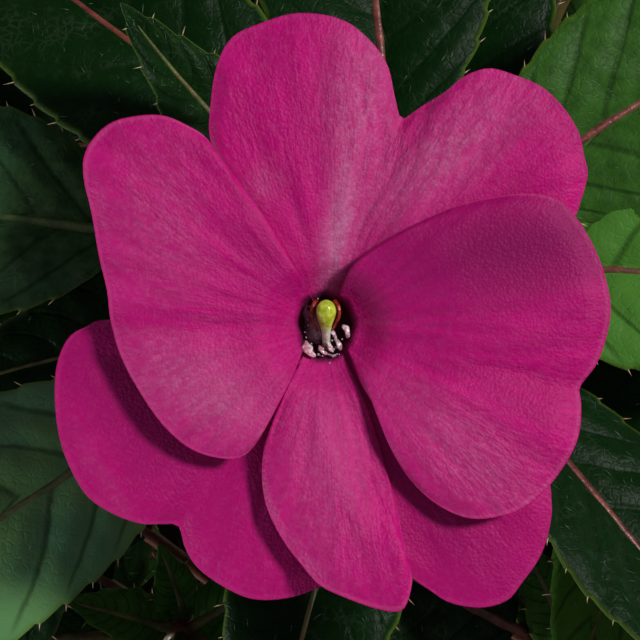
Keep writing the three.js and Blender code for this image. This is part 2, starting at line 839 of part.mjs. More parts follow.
function soilSolid() {
  const g = soil.gap;
  const collarInner = pot.collarRadius - pot.collarWall;
  const slope = (pot.rimLipRadius - collarInner) / (pot.height - pot.collarFoot - 2);
  const edge = collarInner + slope * (soil.top - pot.collarFoot - 2) - g;
  const profile = [
    [0, pot.floor + g],
    [pot.baseRadius - pot.wall - g, pot.floor + g],
    [pot.bodyTopRadius - pot.wall - g, pot.collarFoot + g],
    [collarInner - g, pot.collarFoot + 2 + g],
    [edge, soil.top],
    ...soil.rings.map((r) => [r, soil.top]),
    [0, soil.top],
  ];
  const geometry = turned(profile);
  const position = geometry.attributes.position;
  for (let n = 0; n < position.count; n += 1) {
    if (position.getZ(n) > soil.top - 0.01) {
      position.setZ(n, soil.top + soilLump(position.getX(n), position.getY(n)));
    }
  }
  let solid = toSolid(geometry);
  for (const shoot of shoots) {
    const depth = soil.top + 10 - (stem.foot - g);
    const radius = stem.radius + stem.holeGap;
    const hole = new THREE.CylinderGeometry(radius, radius, depth, stem.sides);
    hole.rotateX(Math.PI / 2);
    hole.translate(shoot.foot[0], shoot.foot[1], stem.foot - g + depth / 2);
    solid = solid.subtract(toSolid(hole));
  }
  return solid;
}

// Shoots: stem, leaves and flower stalks in one piece

function shootSolid(shoot, k) {
  const path = [new THREE.Vector3(shoot.foot[0], shoot.foot[1], stem.foot)];
  for (let n = 0; n <= stem.steps; n += 1) {
    path.push(shoot.path(n / stem.steps));
  }
  const last = path.length - 1;
  const taper = (i) => Math.max(i - 1, 0) / (last - 1);
  const radiusAt = (i) => stem.radius + (stem.tipRadius - stem.radius) * taper(i);
  const pieces = [bar(path, radiusAt, stem.sides)];
  for (const leaf of leaves.filter((one) => one.shoot === k)) {
    pieces.push(leafSolid(leaf));
  }
  for (const { curve } of stalks.filter((one) => one.shoot === k)) {
    const line = [];
    for (let n = 0; n <= flowerStalk.steps; n += 1) {
      line.push(curve(n / flowerStalk.steps));
    }
    pieces.push(bar(line, () => flowerStalk.radius, flowerStalk.sides));
  }
  return fuse(pieces);
}

function budGeometry(one) {
  const along = one.point;
  const middle = new THREE.Vector3(...one.place);
  const path = [];
  for (let n = 0; n <= bud.rings; n += 1) {
    path.push(middle.clone().addScaledVector(along, one.size * bud.length * (n / bud.rings - 0.5)));
  }
  const radiusAt = (i) => one.size * bud.radius * (0.12 + 0.88 * Math.sin(Math.PI * (i / bud.rings) ** 0.8));
  const down = new THREE.Vector3(0, 0, -1);
  const start = middle.clone().addScaledVector(along, -0.3 * one.size * bud.length);
  const bend = start.clone().addScaledVector(down, one.size * bud.spur * 0.5);
  const end = bend.clone().addScaledVector(along, one.size * bud.spur * 0.5);
  const spur = [0, 0.25, 0.5, 0.75, 1].map((s) => bezier(start, bend, end, s));
  const tail = bar(spur, (i) => bud.spurRadius * (1 - 0.12 * i), 5);
  return toGeometry(fuse([bar(path, radiusAt, bud.sides), tail]));
}

// Materials and nodes

const looks = {
  pot: { color: 0x9a5a3c, roughness: 0.6, metalness: 0 },
  soil: { color: 0x3a2a1e, roughness: 1, metalness: 0 },
  leaf: { color: 0x2c5a32, roughness: 0.55, metalness: 0 },
  petal: { color: 0xb0126e, roughness: 0.6, metalness: 0 },
  column: { color: 0xc6d04c, roughness: 0.4, metalness: 0 },
};

const part = new THREE.Group();
part.name = 'potted_new_guinea_impatiens';

function addNode(name, geometry, look) {
  const mesh = new THREE.Mesh(geometry, new THREE.MeshStandardMaterial(looks[look]));
  mesh.name = name;
  part.add(mesh);
}

addNode('pot', toGeometry(potSolid()), 'pot');
addNode('soil', toGeometry(soilSolid()), 'soil');
shoots.forEach((shoot, k) => {
  addNode(shoot.name, toGeometry(shootSolid(shoot, k)), 'leaf');
});
const fullFlower = flowerSolid(3, 0.5, 6);
const plainFlower = flowerSolid(2, 0.34, 6);
const knob = columnGeometry();
flowers.forEach((flower, k) => {
  const petalsSolid = k === 0 ? fullFlower : plainFlower;
  addNode(`flower_${flower.name}`, toGeometry(petalsSolid).applyMatrix4(flower.frame), 'petal');
  addNode(`column_${flower.name}`, knob.clone().applyMatrix4(flower.frame), 'column');
});
buds.forEach((one, k) => {
  addNode(`bud_${k + 1}`, budGeometry(one), 'petal');
});

export default part;
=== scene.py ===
# Potted New Guinea impatiens in bloom: petals, leaves, stems, soil and pot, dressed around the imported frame.
# Shapes are worked out in millimetres and become metres when a mesh is made.

import bpy
import numpy as np
from mathutils import Matrix, Vector
from numpy import arange, arctan2, array, clip, concatenate, cos, cross, exp, full, hypot, linspace, mod
from numpy import pi, radians, sin, stack, where
from numpy.linalg import norm


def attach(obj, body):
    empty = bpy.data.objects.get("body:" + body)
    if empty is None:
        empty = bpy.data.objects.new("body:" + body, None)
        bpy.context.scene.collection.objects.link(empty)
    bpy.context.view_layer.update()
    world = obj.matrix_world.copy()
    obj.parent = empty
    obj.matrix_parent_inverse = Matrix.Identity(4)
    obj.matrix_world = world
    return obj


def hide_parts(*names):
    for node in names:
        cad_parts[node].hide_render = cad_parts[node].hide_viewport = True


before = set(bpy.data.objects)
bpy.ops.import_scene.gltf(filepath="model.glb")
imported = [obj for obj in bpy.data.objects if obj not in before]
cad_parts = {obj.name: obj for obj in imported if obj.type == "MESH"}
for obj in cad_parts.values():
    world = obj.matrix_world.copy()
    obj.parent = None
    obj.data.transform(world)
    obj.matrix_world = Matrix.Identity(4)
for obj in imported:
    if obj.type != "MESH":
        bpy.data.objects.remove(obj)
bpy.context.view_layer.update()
print("frame loaded:", len(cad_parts), "nodes")

mm = 0.001
upward = array([0.0, 0.0, 1.0])


# Plain helpers

def smooth(x):
    # 3x^2 - 2x^3 with x held between 0 and 1
    c = clip(x, 0.0, 1.0)
    return c * c * (3 - 2 * c)


def sway(n):
    # sin(7.13 n + 1.7): an uneven number between -1 and 1 that is always the same for n
    return sin(7.13 * n + 1.7)


def heading(azimuth, level=1.0, rise=0.0):
    # (level cos a, level sin a, rise)
    a = radians(azimuth)
    return array([cos(a) * level, sin(a) * level, rise])


def bezier(a, b, c, s):
    # (1-s)^2 a + 2s(1-s) b + s^2 c
    s = np.asarray(s, float)[..., None]
    return (1 - s) ** 2 * a + 2 * s * (1 - s) * b + s ** 2 * c


def unit(v):
    # each vector divided by its length
    return v / np.maximum(norm(v, axis=-1, keepdims=True), 1e-12)


def gridOf(rows, columns):
    # every row value with every column value
    return np.meshgrid(rows, columns, indexing="ij")


def around(sides):
    # angles evenly round a full turn
    return linspace(0, 2 * pi, sides, endpoint=False)


def curveThrough(points, count):
    # Catmull-Rom curve through the points, sampled evenly by length
    p = np.asarray(points, float)
    q = np.vstack([2 * p[0] - p[1], p, 2 * p[-1] - p[-2]])
    t = linspace(0, 1, 12, endpoint=False)[None, :, None]
    a, b, c, d = (q[k:len(q) - 3 + k][:, None, :] for k in range(4))
    bend = (2 * a - 5 * b + 4 * c - d) * t ** 2
    arc = 0.5 * (2 * b + (c - a) * t + bend + (3 * b - a - 3 * c + d) * t ** 3)
    line = np.vstack([arc.reshape(-1, p.shape[1]), p[-1:]])
    marks = concatenate([[0], np.cumsum(norm(np.diff(line, axis=0), axis=1))])
    want = linspace(0, marks[-1], count)
    return stack([np.interp(want, marks, line[:, k]) for k in range(p.shape[1])], 1)


# Meshes: a part is a dictionary of points, quads, triangles, a map and named values for each point

def gridQuads(rows, columns, wrap=False):
    # cell (i, j) joins i, i+1 with j, j+1; wrap joins the last column to the first
    i, j = gridOf(arange(rows - 1), arange(columns if wrap else columns - 1))
    k, i, after = (j + 1) % columns, i * columns, (i + 1) * columns
    return stack([i + j, after + j, after + k, i + k], -1).reshape(-1, 4)


def sheetPart(grid, thick, uv, values):
    # both faces of a thin sheet, grid + normal thick/2 and grid - normal thick/2, closed round the rim; the
    # normal is the cross product of the steps along the rows and along the columns
    rows, columns = grid.shape[:2]
    half = unit(cross(np.gradient(grid, axis=0), np.gradient(grid, axis=1)))
    half = half * (np.broadcast_to(thick, (rows, columns))[..., None] / 2)
    quads = gridQuads(rows, columns)
    back = rows * columns
    at = arange(back).reshape(rows, columns)
    border = concatenate([at[0, :-1], at[:-1, -1], at[-1, :0:-1], at[:0:-1, 0]])
    after = np.roll(border, -1)
    rim = stack([border, after, back + after, back + border], 1)
    spread = {key: np.broadcast_to(value, (rows, columns)).ravel() for key, value in values.items()}
    return {
        "points": concatenate([(grid + half).reshape(-1, 3), (grid - half).reshape(-1, 3)]),
        "quads": concatenate([quads, back + quads[:, ::-1], rim]),
        "uv": concatenate([uv.reshape(-1, 2)] * 2),
        "values": {"under": np.repeat([0.0, 1.0], back), **{key: np.tile(v, 2) for key, v in spread.items()}},
    }


def ringPart(rings, ends=None, values=None):
    # rings of points joined to a skin; a fan round each of the two end points closes it, and without them
    # the last ring joins the first; values are given ring by ring
    count, sides = rings.shape[:2]
    points = rings.reshape(-1, 3)
    if ends is None:
        quads = gridQuads(count + 1, sides, True)[:, ::-1] % len(points)
        return {"points": points, "quads": quads, "values": {}}
    k = arange(sides)
    n, tail = (k + 1) % sides, len(points) - sides
    pole = full(sides, len(points))
    flat = {key: np.repeat(np.broadcast_to(value, count), sides) for key, value in (values or {}).items()}
    return {
        "points": concatenate([points, ends]),
        "quads": gridQuads(count, sides, True)[:, ::-1],
        "tris": concatenate([stack([pole, n, k], 1), stack([pole + 1, tail + k, tail + n], 1)]),
        "values": {key: concatenate([value, value[:1], value[-1:]]) for key, value in flat.items()},
    }


def tubePart(path, radius, sides, values=None, squeeze=1.0):
    # path + radius (side cos a + squeeze other sin a), where side and other stand square to the path and
    # don't twist along it; radius is one number, one for each ring or one for each point
    path, radius = np.asarray(path, float), np.asarray(radius, float)
    count = len(path)
    radius = radius if radius.ndim == 2 else np.broadcast_to(radius, count)[:, None]
    forward = unit(np.gradient(path, axis=0))
    side = np.empty_like(forward)
    start = array([1.0, 0.0, 0.0]) if abs(forward[0, 0]) < 0.9 else array([0.0, 1.0, 0.0])
    for k in range(count):
        start = start - forward[k] * (forward[k] @ start)
        start = start / norm(start)
        side[k] = start
    turn = around(sides)[None, :, None]
    ring = side[:, None] * cos(turn) + squeeze * cross(forward, side)[:, None] * sin(turn)
    ring = path[:, None] + ring * np.broadcast_to(radius, (count, sides))[..., None]
    part = ringPart(ring, path[[0, -1]], values)
    grid = stack(gridOf(linspace(0, 1, count), arange(sides) / sides), -1)
    part["uv"] = concatenate([grid.reshape(-1, 2), [[0, 0], [1, 0]]])
    return part


def spun(profile, sides, values=None, loop=False):
    # (r, z) carried round the axis: (r cos a, r sin a, z), with the outside on the right of the profile;
    # a loop closes on itself, and other profiles end in a point on the axis
    r, z = np.asarray(profile, float).T[..., None]
    turn = around(sides)
    rings = stack([r * cos(turn), r * sin(turn), np.broadcast_to(z, (len(z), sides))], -1)
    return ringPart(rings, None if loop else array([[0, 0, z[0, 0]], [0, 0, z[-1, 0]]]), values)


def conesPart(base, tip, radius):
    # three-sided needles, base + radius (side cos a + other sin a) for three angles, to each tip
    side = unit(cross(unit(tip - base), array([0.31, 0.53, 0.79])))
    other = cross(unit(tip - base), side)
    ring = [base + radius * (side * cos(a) + other * sin(a)) for a in 2 * pi * arange(3) / 3]
    count = len(base)
    k = arange(count)
    tris = [stack([k + n * count, k + (n + 1) % 3 * count, k + 3 * count], 1) for n in range(3)]
    tris.append(stack([k + 2 * count, k + count, k], 1))
    return {"points": concatenate([*ring, tip]), "tris": concatenate(tris), "values": {}}


def ballsPart(middles, radii, rings, sides):
    # middle + radius (sin a cos b, sin a sin b, cos a) for every middle at once
    a = pi * (arange(1, rings) / rings)
    ball = spun(stack([sin(a), cos(a)], 1), sides)
    ball["points"][-2:, 2] = 1, -1
    step = (arange(len(middles)) * len(ball["points"]))[:, None, None]
    points = middles[:, None] + radii.reshape(len(middles), 1, -1) * ball["points"]
    quads, tris = ((ball[key][:, ::-1] + step).reshape(-1, ball[key].shape[1]) for key in ("quads", "tris"))
    return {"points": points.reshape(-1, 3), "quads": quads, "tris": tris, "values": {}}


def moved(matrix, points):
    # points turned and moved by a 4 x 4 matrix
    return np.asarray(points, float) @ matrix[:3, :3].T + matrix[:3, 3]


def placed(part, matrix):
    # the part with its points moved
    return {**part, "points": moved(matrix, part["points"])}


def addObject(name, data):
    # an object of the scene that holds the data
    made = bpy.data.objects.new(name, data)
    bpy.context.scene.collection.objects.link(made)
    return made


def makePiece(name, parts, material, slot, *nodes):
    # joins the parts, with missing values taken as 0, in one mesh in metres that rides on the root body
    counts = [len(part["points"]) for part in parts]
    first = np.cumsum([0, *counts])
    points = concatenate([part["points"] for part in parts])
    quads = concatenate([part.get("quads", np.empty((0, 4), int)) + k for part, k in zip(parts, first)])
    tris = concatenate([part.get("tris", np.empty((0, 3), int)) + k for part, k in zip(parts, first)])
    uv = concatenate([part.get("uv", np.zeros((count, 2))) for part, count in zip(parts, counts)])
    corners = concatenate([quads.ravel(), tris.ravel()]).astype(np.int32)
    sizes = np.repeat([4, 3], [len(quads), len(tris)])
    mesh = bpy.data.meshes.new(name)
    mesh.vertices.add(len(points))
    mesh.vertices.foreach_set("co", (points * mm).astype(np.float32).ravel())
    mesh.loops.add(len(corners))
    mesh.loops.foreach_set("vertex_index", corners)
    mesh.polygons.add(len(sizes))
    mesh.polygons.foreach_set("loop_start", (np.cumsum(sizes) - sizes).astype(np.int32))
    mesh.polygons.foreach_set("use_smooth", np.ones(len(sizes), bool))
    mesh.uv_layers.new(name="map").data.foreach_set("uv", uv[corners].astype(np.float32).ravel())
    for key in sorted({key for part in parts for key in part["values"]}):
        value = [np.broadcast_to(part["values"].get(key, 0.0), count) for part, count in zip(parts, counts)]
        layer = mesh.attributes.new(key, "FLOAT", "POINT")
        layer.data.foreach_set("value", concatenate(value).astype(np.float32))
    mesh.update(calc_edges=True)
    mesh.validate()
    mesh.materials.append(material)
    piece = addObject(name, mesh)
    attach(piece, "root")
    if nodes:
        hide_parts(*nodes)
    print(name, "has", 2 * len(quads) + len(tris), "triangles")
    return piece


# Sizes shared with the solids

faceLean = radians(15)
faceRight = array([1.0, 0.0, 0.0])
faceUp = array([0.0, cos(faceLean), sin(faceLean)])
faceOut = array([0.0, -sin(faceLean), cos(faceLean)])
mainFlowerOffset = {"right": -9.8, "up": -8.3, "out": 32}

potShape = {
    "height": 105, "rimRadius": 65, "rimLipRadius": 62.9, "collarFoot": 84, "collarRadius": 63,
    "bodyTopRadius": 60.3, "baseRadius": 45, "wall": 1.8, "collarWall": 2.6, "floor": 2, "floorHole": 0.6,
    "drains": 5, "drainRing": 27, "drainRadius": 4.5,
}
soilShape = {"top": 93, "gap": 0.3, "lump": 1.5}
stemShape = {"foot": 68, "leaveSoil": 98, "radius": 3.8, "tipRadius": 2.1}
outerShoots = {
    "count": 6, "footRadius": 27, "bowRadius": 31, "bowHeight": 132, "tipRadius": 51, "tipHeight": 168,
    "turnSway": 5, "radiusSway": 3, "heightSway": 5,
}
centreShoot = {"foot": (1.5, -1), "bowHeight": 160, "tip": (0, 0, 204)}

leafShape = {"rise": 0.64, "fall": 1.05, "stalkHalf": 1.1, "fold": 19, "curl": 0.2, "wave": 0.9, "waves": 2.6}
whorls = [
    {"at": 0.42, "turns": [-58, 3, 61], "rise": 12, "droop": 62, "length": 76, "width": 27, "stalk": 17},
    {"at": 0.7, "turns": [-88, -28, 33, 92], "rise": 22, "droop": 56, "length": 74, "width": 27, "stalk": 16},
    {"at": 0.96, "turns": [-118, -48, 16, 84], "rise": 28, "droop": 52, "length": 64, "width": 24,
     "stalk": 13},
]

# Leaves of the centre shoot: azimuth, rise, droop, blade, width, stalk, drop of the node, roll, bend aside
leafKeys = ("azimuth", "elevation", "droop", "length", "width", "stalk", "drop", "roll", "bend")
lowerCentreLeaves = [
    (20, 26, 52, 70, 25, 16, 26, 0, 0),
    (76, 26, 52, 70, 25, 16, 26, 0, 0),
    (192, 22, 52, 70, 26, 18, 22, 0, 0),
    (262, 24, 52, 66, 24, 18, 24, 0, 0),
    (334, 24, 52, 66, 24, 16, 26, 0, 0),
]
upperCentreLeaves = [
    (170.5, 9, 34, 78, 32, 38, 9, 0, 0),
    (212, 9, 34, 84, 30, 36, 7, 0, 0),
    (309, 18, 44, 74, 25, 20, 6, -30, 0),
    (94.5, 16, 42, 78, 33, 19, 5, 0, 0),
    (357, 18, 46, 72, 28, 13, 3, 0, 0),
    (140, 16, 42, 80, 30, 18, 2, 0, 0),
    (33, 18, 42, 78, 30, 17, 1, 10, 0),
    (153, 20, -18, 36, 13, 14.5, 0, 0, -8),
    (268, 30, 40, 26, 10, 5, 0, 0, 0),
]

bloomShape = {
    "baseRadius": 3.6, "baseDepth": 2.6, "levelStep": 0.82, "cupEnd": -8, "cupEndRadius": 1.5,
    "spurRadius": 1.3, "spurTipRadius": 0.6, "reach": 36, "underside": -2.5,
}

# Petals in the plane of the face, x right and y up from the centre: name, lift over the lowest one, place in
# the stack, the crease that runs in from the notch (its point at the rim, depth, width), and the outline
petalRows = [
    ("lowerLeft", -0.6, 0, (-17.6, -23.8, 0.7, 2.6), [
        (-2.6, -0.6), (-14.9, -0.2), (-25.7, 1.0), (-28.7, 0.1), (-30.7, -1.1), (-32.0, -3.8), (-32.4, -7.4),
        (-32.0, -12.2), (-30.7, -16.4), (-28.5, -20.1), (-25.4, -22.2), (-22.1, -23.4), (-19.5, -23.5),
        (-17.6, -23.8), (-16.8, -26.3), (-15.3, -28.7), (-12.5, -30.8), (-9.0, -32.4), (-5.4, -32.5),
        (-2.0, -31.6), (0.4, -29.6), (0.6, -20), (-0.4, -2.7),
    ]),
    ("lowerRight", 0.4, 1, (8.8, -28.2, 0.0, 2.6), [
        (0.2, -2.7), (3.2, -14), (6.6, -22), (8.8, -28.2), (10.8, -30.1), (12.5, -31.3), (14.9, -32.8),
        (18.5, -33.4), (21.7, -32.6), (23.5, -30.5), (25.8, -27.1), (26.9, -23.3), (27.0, -20.5),
        (26.2, -17.6), (20.9, -13.4), (11.3, -7.4), (2.3, -1.6),
    ]),
    ("top", 1.9, 1, (9.2, 25.0, 1.3, 3.2), [
        (-1.0, 2.5), (-7.6, 12.4), (-12.2, 19.8), (-13.7, 22.8), (-13.6, 26.6), (-12.9, 31.0), (-11.1, 34.5),
        (-7.5, 36.3), (-3.2, 37.4), (1.8, 36.7), (5.1, 34.4), (7.4, 31.3), (8.4, 27.2), (9.2, 25.0),
        (11.3, 26.3), (14.3, 28.1), (16.7, 30.0), (19.5, 30.9), (22.3, 30.2), (25.7, 28.7), (28.3, 26.2),
        (30.1, 23.3), (30.8, 20.3), (31.2, 18.3), (30.5, 15.5), (29.3, 12.9), (24.5, 10.5), (14.9, 7.9),
        (6.6, 5.0), (1.6, 2.2),
    ]),
    ("bottom", 3.0, 2, (9.4, -26.4, 0.0, 2.6), [
        (-1.9, -2.0), (-5.0, -8.6), (-7.0, -13.4), (-7.5, -17.6), (-6.8, -21.5), (-4.8, -25.4), (-2.4, -28.5),
        (-0.5, -30.5), (2.4, -31.9), (5.6, -33.1), (8.5, -33.6), (9.6, -32.8), (10.3, -29.9), (9.6, -27.1),
        (9.1, -24.5), (8.6, -21.6), (6.0, -12.5), (1.7, -2.2),
    ]),
    ("left", 3.6, 3, (-25.4, 1.0, 0.5, 3.2), [
        (-1.0, 2.5), (-7.5, 13.5), (-11.9, 19.5), (-14.2, 22.6), (-16.4, 24.0), (-19.1, 25.1), (-22.1, 25.1),
        (-25.1, 24.4), (-27.2, 22.7), (-28.5, 20.3), (-28.5, 17.4), (-27.7, 13.9), (-26.8, 8.7), (-25.8, 4.5),
        (-25.4, 1.0), (-24.2, -3.2), (-22.1, -7.2), (-19.1, -11.5), (-15.5, -14.5), (-11.1, -15.5),
        (-8.6, -14.2), (-6.0, -9.8), (-3.9, -5.6), (-2.3, -1.4),
    ]),
    ("right", 4.2, 3, (30.1, -7.2, 0.9, 3.0), [
        (1.2, 2.4), (3.2, 7.2), (6.0, 9.6), (10.8, 12.4), (16.7, 14.8), (23.3, 15.9), (27.5, 15.2),
        (29.6, 13.1), (31.4, 10.2), (32.8, 6.9), (33.7, 2.8), (33.3, -0.8), (32.2, -4.1), (30.7, -6.2),
        (30.1, -7.2), (30.3, -9.2), (29.9, -12.8), (28.3, -16.1), (25.8, -19.3), (22.3, -21.7), (17.6, -22.5),
        (13.7, -21.1), (10.4, -18.3), (8.0, -14.6), (6.3, -10.0), (4.4, -6.6), (2.4, -1.4),
    ]),
]
spurPath = [
    (0, 0, -7), (0, -1.5, -11.5), (-0.5, -6, -14), (-1.5, -13, -15), (-2, -20, -14), (-1.5, -27, -11.5),
]

# Other open flowers and the buds: the shoot that carries them, place, lean, direction, turn and size
sideFlowers = [
    {"shoot": 1, "place": (82, 26, 214), "lean": 24, "towards": 14, "turn": 40, "size": 0.96},
    {"shoot": 3, "place": (-38, 84, 215), "lean": 24, "towards": 118, "turn": 150, "size": 0.92},
    {"shoot": 4, "place": (-89, -24, 213), "lean": 25, "towards": 196, "turn": 255, "size": 1.0},
    {"shoot": 6, "place": (42, -90, 212), "lean": 26, "towards": 292, "turn": 330, "size": 0.95},
]
buds = [
    {"shoot": 2, "place": (46, 70, 206), "towards": 40, "rise": 35, "size": 1.0},
    {"shoot": 5, "place": (-44, -74, 206), "towards": 236, "rise": 30, "size": 1.1},
    {"shoot": 5, "place": (2, -84, 202), "towards": 280, "rise": 20, "size": 0.85},
]
budShape = {"length": 13, "radius": 4.2, "spur": 20, "spurRadius": 0.9}
flowerStalk = {"radius": 1.0, "gap": 0.35, "from": 0.97, "sweep": 0.45, "end": (0.9, 2.0, -9)}


# Camera: square to the open face of the main flower, from above

view = {"distance": 330, "width": 76.4, "sensor": 36, "aside": -0.6, "above": 0.955}
axes = stack([faceRight, faceUp, faceOut], 1)
mainPlace = array(centreShoot["tip"], float) + mainFlowerOffset["right"] * faceRight
mainPlace = mainPlace + mainFlowerOffset["up"] * faceUp + mainFlowerOffset["out"] * faceOut
lookAt = mainPlace + view["aside"] * faceRight + view["above"] * faceUp
cameraData = bpy.data.cameras.new("camera")
cameraData.sensor_width = view["sensor"]
cameraData.lens = view["sensor"] * view["distance"] / view["width"]
cameraData.clip_start = 0.01
camera = addObject("camera", cameraData)
stand = Matrix.Translation(Vector((lookAt + view["distance"] * faceOut) * mm))
camera.matrix_world = stand @ Matrix(axes).to_4x4()
bpy.context.scene.camera = camera
bpy.context.scene.view_settings.view_transform = "Standard"
print("camera stands", view["distance"], "mm from the main flower")


# Shoots: each a quadratic curve from the soil, bowed outwards to the tip

def makeShoots():
    # foot, bow and tip of the centre shoot, then of the ring of outer ones at 360 k / count degrees + sway
    soil, outer = stemShape["leaveSoil"], outerShoots
    foot = centreShoot["foot"]
    curve = array([(*foot, soil), (*foot, centreShoot["bowHeight"]), centreShoot["tip"]], float)
    made = [{"name": "shoot_centre", "azimuth": 0.0, "curve": curve}]
    for k in range(outer["count"]):
        azimuth = 360 / outer["count"] * k + outer["turnSway"] * sway(k)
        radius = outer["tipRadius"] + outer["radiusSway"] * sway(k + 10)
        height = outer["tipHeight"] + outer["heightSway"] * sway(k + 20)
        made.append({"name": f"shoot_{k + 1}", "azimuth": azimuth, "curve": [
            heading(azimuth, outer["footRadius"], soil),
            heading(azimuth, outer["bowRadius"], outer["bowHeight"]),
            heading(azimuth, radius, height),
        ]})
    return made


def onShoot(shoot, s):
    # the shoot's curve at the share s of its length
    return bezier(*shoot["curve"], s)


shoots = makeShoots()


# Flowers: where each stands, as a 4 x 4 matrix of its own x, y and outward directions

def matrixOf(directions, place):
    # directions in the first three columns, place in the last
    matrix = np.eye(4)
    matrix[:3, :3], matrix[:3, 3] = directions, place
    return matrix


def flowerMatrix(flower):
    # out leans from upright; x is right cos turn + up sin turn; all three times the flower's size
    lean, turn = radians(flower["lean"]), radians(flower["turn"])
    out = heading(flower["towards"], sin(lean), cos(lean))
    up = unit(upward - out * out[2])
    x = cross(up, out) * cos(turn) + up * sin(turn)
    return matrixOf(stack([x, cross(out, x), out], 1) * flower["size"], flower["place"])


flowers = [{"name": "main", "shoot": 0, "matrix": matrixOf(axes, mainPlace)}]
for k, flower in enumerate(sideFlowers):
    flowers.append({"name": str(k + 1), "shoot": flower["shoot"], "matrix": flowerMatrix(flower)})


# Flower stalks: from near the stem's tip to just behind the throat, arriving along the flower's own axis

def makeStalk(shoot, end, arrive):
    # start on the stem, a middle point sweep x distance behind the end, and the end
    start = onShoot(shoots[shoot], flowerStalk["from"])
    return {"shoot": shoot, "points": (start, end - flowerStalk["sweep"] * norm(end - start) * arrive, end)}


stalks = []
for flower in flowers:
    matrix = flower["matrix"]
    stalks.append(makeStalk(flower["shoot"], moved(matrix, flowerStalk["end"]), unit(matrix[:3, 2])))
for bud in buds:
    bud["point"] = heading(bud["towards"], cos(radians(bud["rise"])), sin(radians(bud["rise"])))
    reach = bud["size"] * budShape["length"] / 2 + flowerStalk["gap"]
    stalks.append(makeStalk(bud["shoot"], array(bud["place"], float) - reach * bud["point"], bud["point"]))


# Leaves: the midrib arches out and down, the blade is folded a little along it and waves at its margins

def leafShare(x):
    # x^rise (1-x)^fall over its own highest value
    rise, fall = leafShape["rise"], leafShape["fall"]
    peak = (rise / (rise + fall)) ** rise * (fall / (rise + fall)) ** fall
    c = clip(x, 0.0, 1.0)
    return c ** rise * (1 - c) ** fall / peak


def onLeaf(leaf, x):
    # the share of stalk and blade together at the share x of the blade
    return (leaf["stalk"] + leaf["length"] * x) / (leaf["stalk"] + leaf["length"])


def leafLines(leaf, s):
    # a quadratic curve that starts at the elevation and droops, bent aside by bend s^2: its points, its
    # direction, the direction across the blade and the normal, both rolled, and the share x of the blade
    total = leaf["stalk"] + leaf["length"]
    first, second = radians(leaf["elevation"]), radians(leaf["elevation"] - leaf["droop"])
    near = total / 2 * array([cos(first), sin(first)])
    step = total / 2 * array([cos(second), sin(second)])
    far = near + step
    out = heading(leaf["azimuth"])
    aside = array([-out[1], out[0], 0.0])
    s = np.asarray(s, float)[..., None]
    middle = leaf["base"] + (2 * s * (1 - s) * near[0] + s * s * far[0]) * out
    middle = middle + (2 * s * (1 - s) * near[1] + s * s * far[1]) * upward + leaf["bend"] * s * s * aside
    forward = ((1 - s) * near[0] + s * step[0]) * out + ((1 - s) * near[1] + s * step[1]) * upward
    forward = unit(forward + leaf["bend"] * s * aside)
    side = unit(aside - forward * (forward @ aside)[..., None])
    normal = cross(forward, side)
    roll = radians(leaf["roll"])
    across = side * cos(roll) + normal * sin(roll)
    normal = normal * cos(roll) - side * sin(roll)
    return middle, forward, across, normal, (s[..., 0] * total - leaf["stalk"]) / leaf["length"]


def leafWidth(leaf, x):
    # half of the blade's width at x, with a narrow strip left along the stalk
    return leaf["width"] / 2 * leafShare(x) + leafShape["stalkHalf"] * (1 - 0.8 * smooth(x))


def leafPoint(leaf, s, t, aside=0.0, relief=0.0):
    # midrib + across (t w cos fold + aside) + normal (w (|t| sin fold - curl t^2) + ripple + relief)
    middle, forward, across, normal, x = leafLines(leaf, s)
    w = leafWidth(leaf, x)
    fold = radians(leafShape["fold"])
    wave = leafShape["wave"] * sin(2 * pi * leafShape["waves"] * clip(x, 0, 1) + leaf["phase"])
    lift = w * (np.abs(t) * sin(fold) - leafShape["curl"] * t * t)
    lift = lift + wave * t * t * np.sign(t) * leafShare(x) + relief
    return middle + (t * w * cos(fold) + aside)[..., None] * across + lift[..., None] * normal


# Leaves settle from the lowest up: each takes the first place near its own that is clear of what lies
# below it, of the flowers above it and of the other stems

settle = {
    "cell": 3, "half": 210, "lowest": 30, "skin": 0.6, "gap": 1.7, "freeStalk": 10, "nearStem": 7,
    "nearStalk": 4, "turnCost": 0.6, "downCost": -2, "scaleCost": 90, "scales": (1, 0.84, 0.7),
    "turns": (0, 7, -7, 14, -14, 21, -21, 28, -28), "tilts": (0, 4, 8, 12, 16, 20, 24, 28, -5, -10, -15, -20),
}


def cellsOf(points):
    # number of the ground cell under each point, row by row
    cell = np.floor((points[:, :2] + settle["half"]) / settle["cell"]).astype(int)
    return cell[:, 0] * int(2 * settle["half"] / settle["cell"]) + cell[:, 1]


def leafSamples(leaf):
    # points of the blade and of the stalk's free end: 36 steps along and 11 across
    s = arange(1, 37) / 36
    s = s[(leaf["stalk"] + leaf["length"]) * s >= settle["freeStalk"]]
    return leafPoint(leaf, *gridOf(s, arange(-5, 6) / 5)).reshape(-1, 3)


def centreLeaf(row, n):
    # a leaf of the centre shoot from its row of numbers, its node a drop below the shoot's tip
    leaf = dict(zip(leafKeys, row))
    base = array(centreShoot["tip"], float) - array([0, 0, leaf["drop"]])
    return {**leaf, "shoot": 0, "base": base, "phase": 3 * sway(n + 400)}


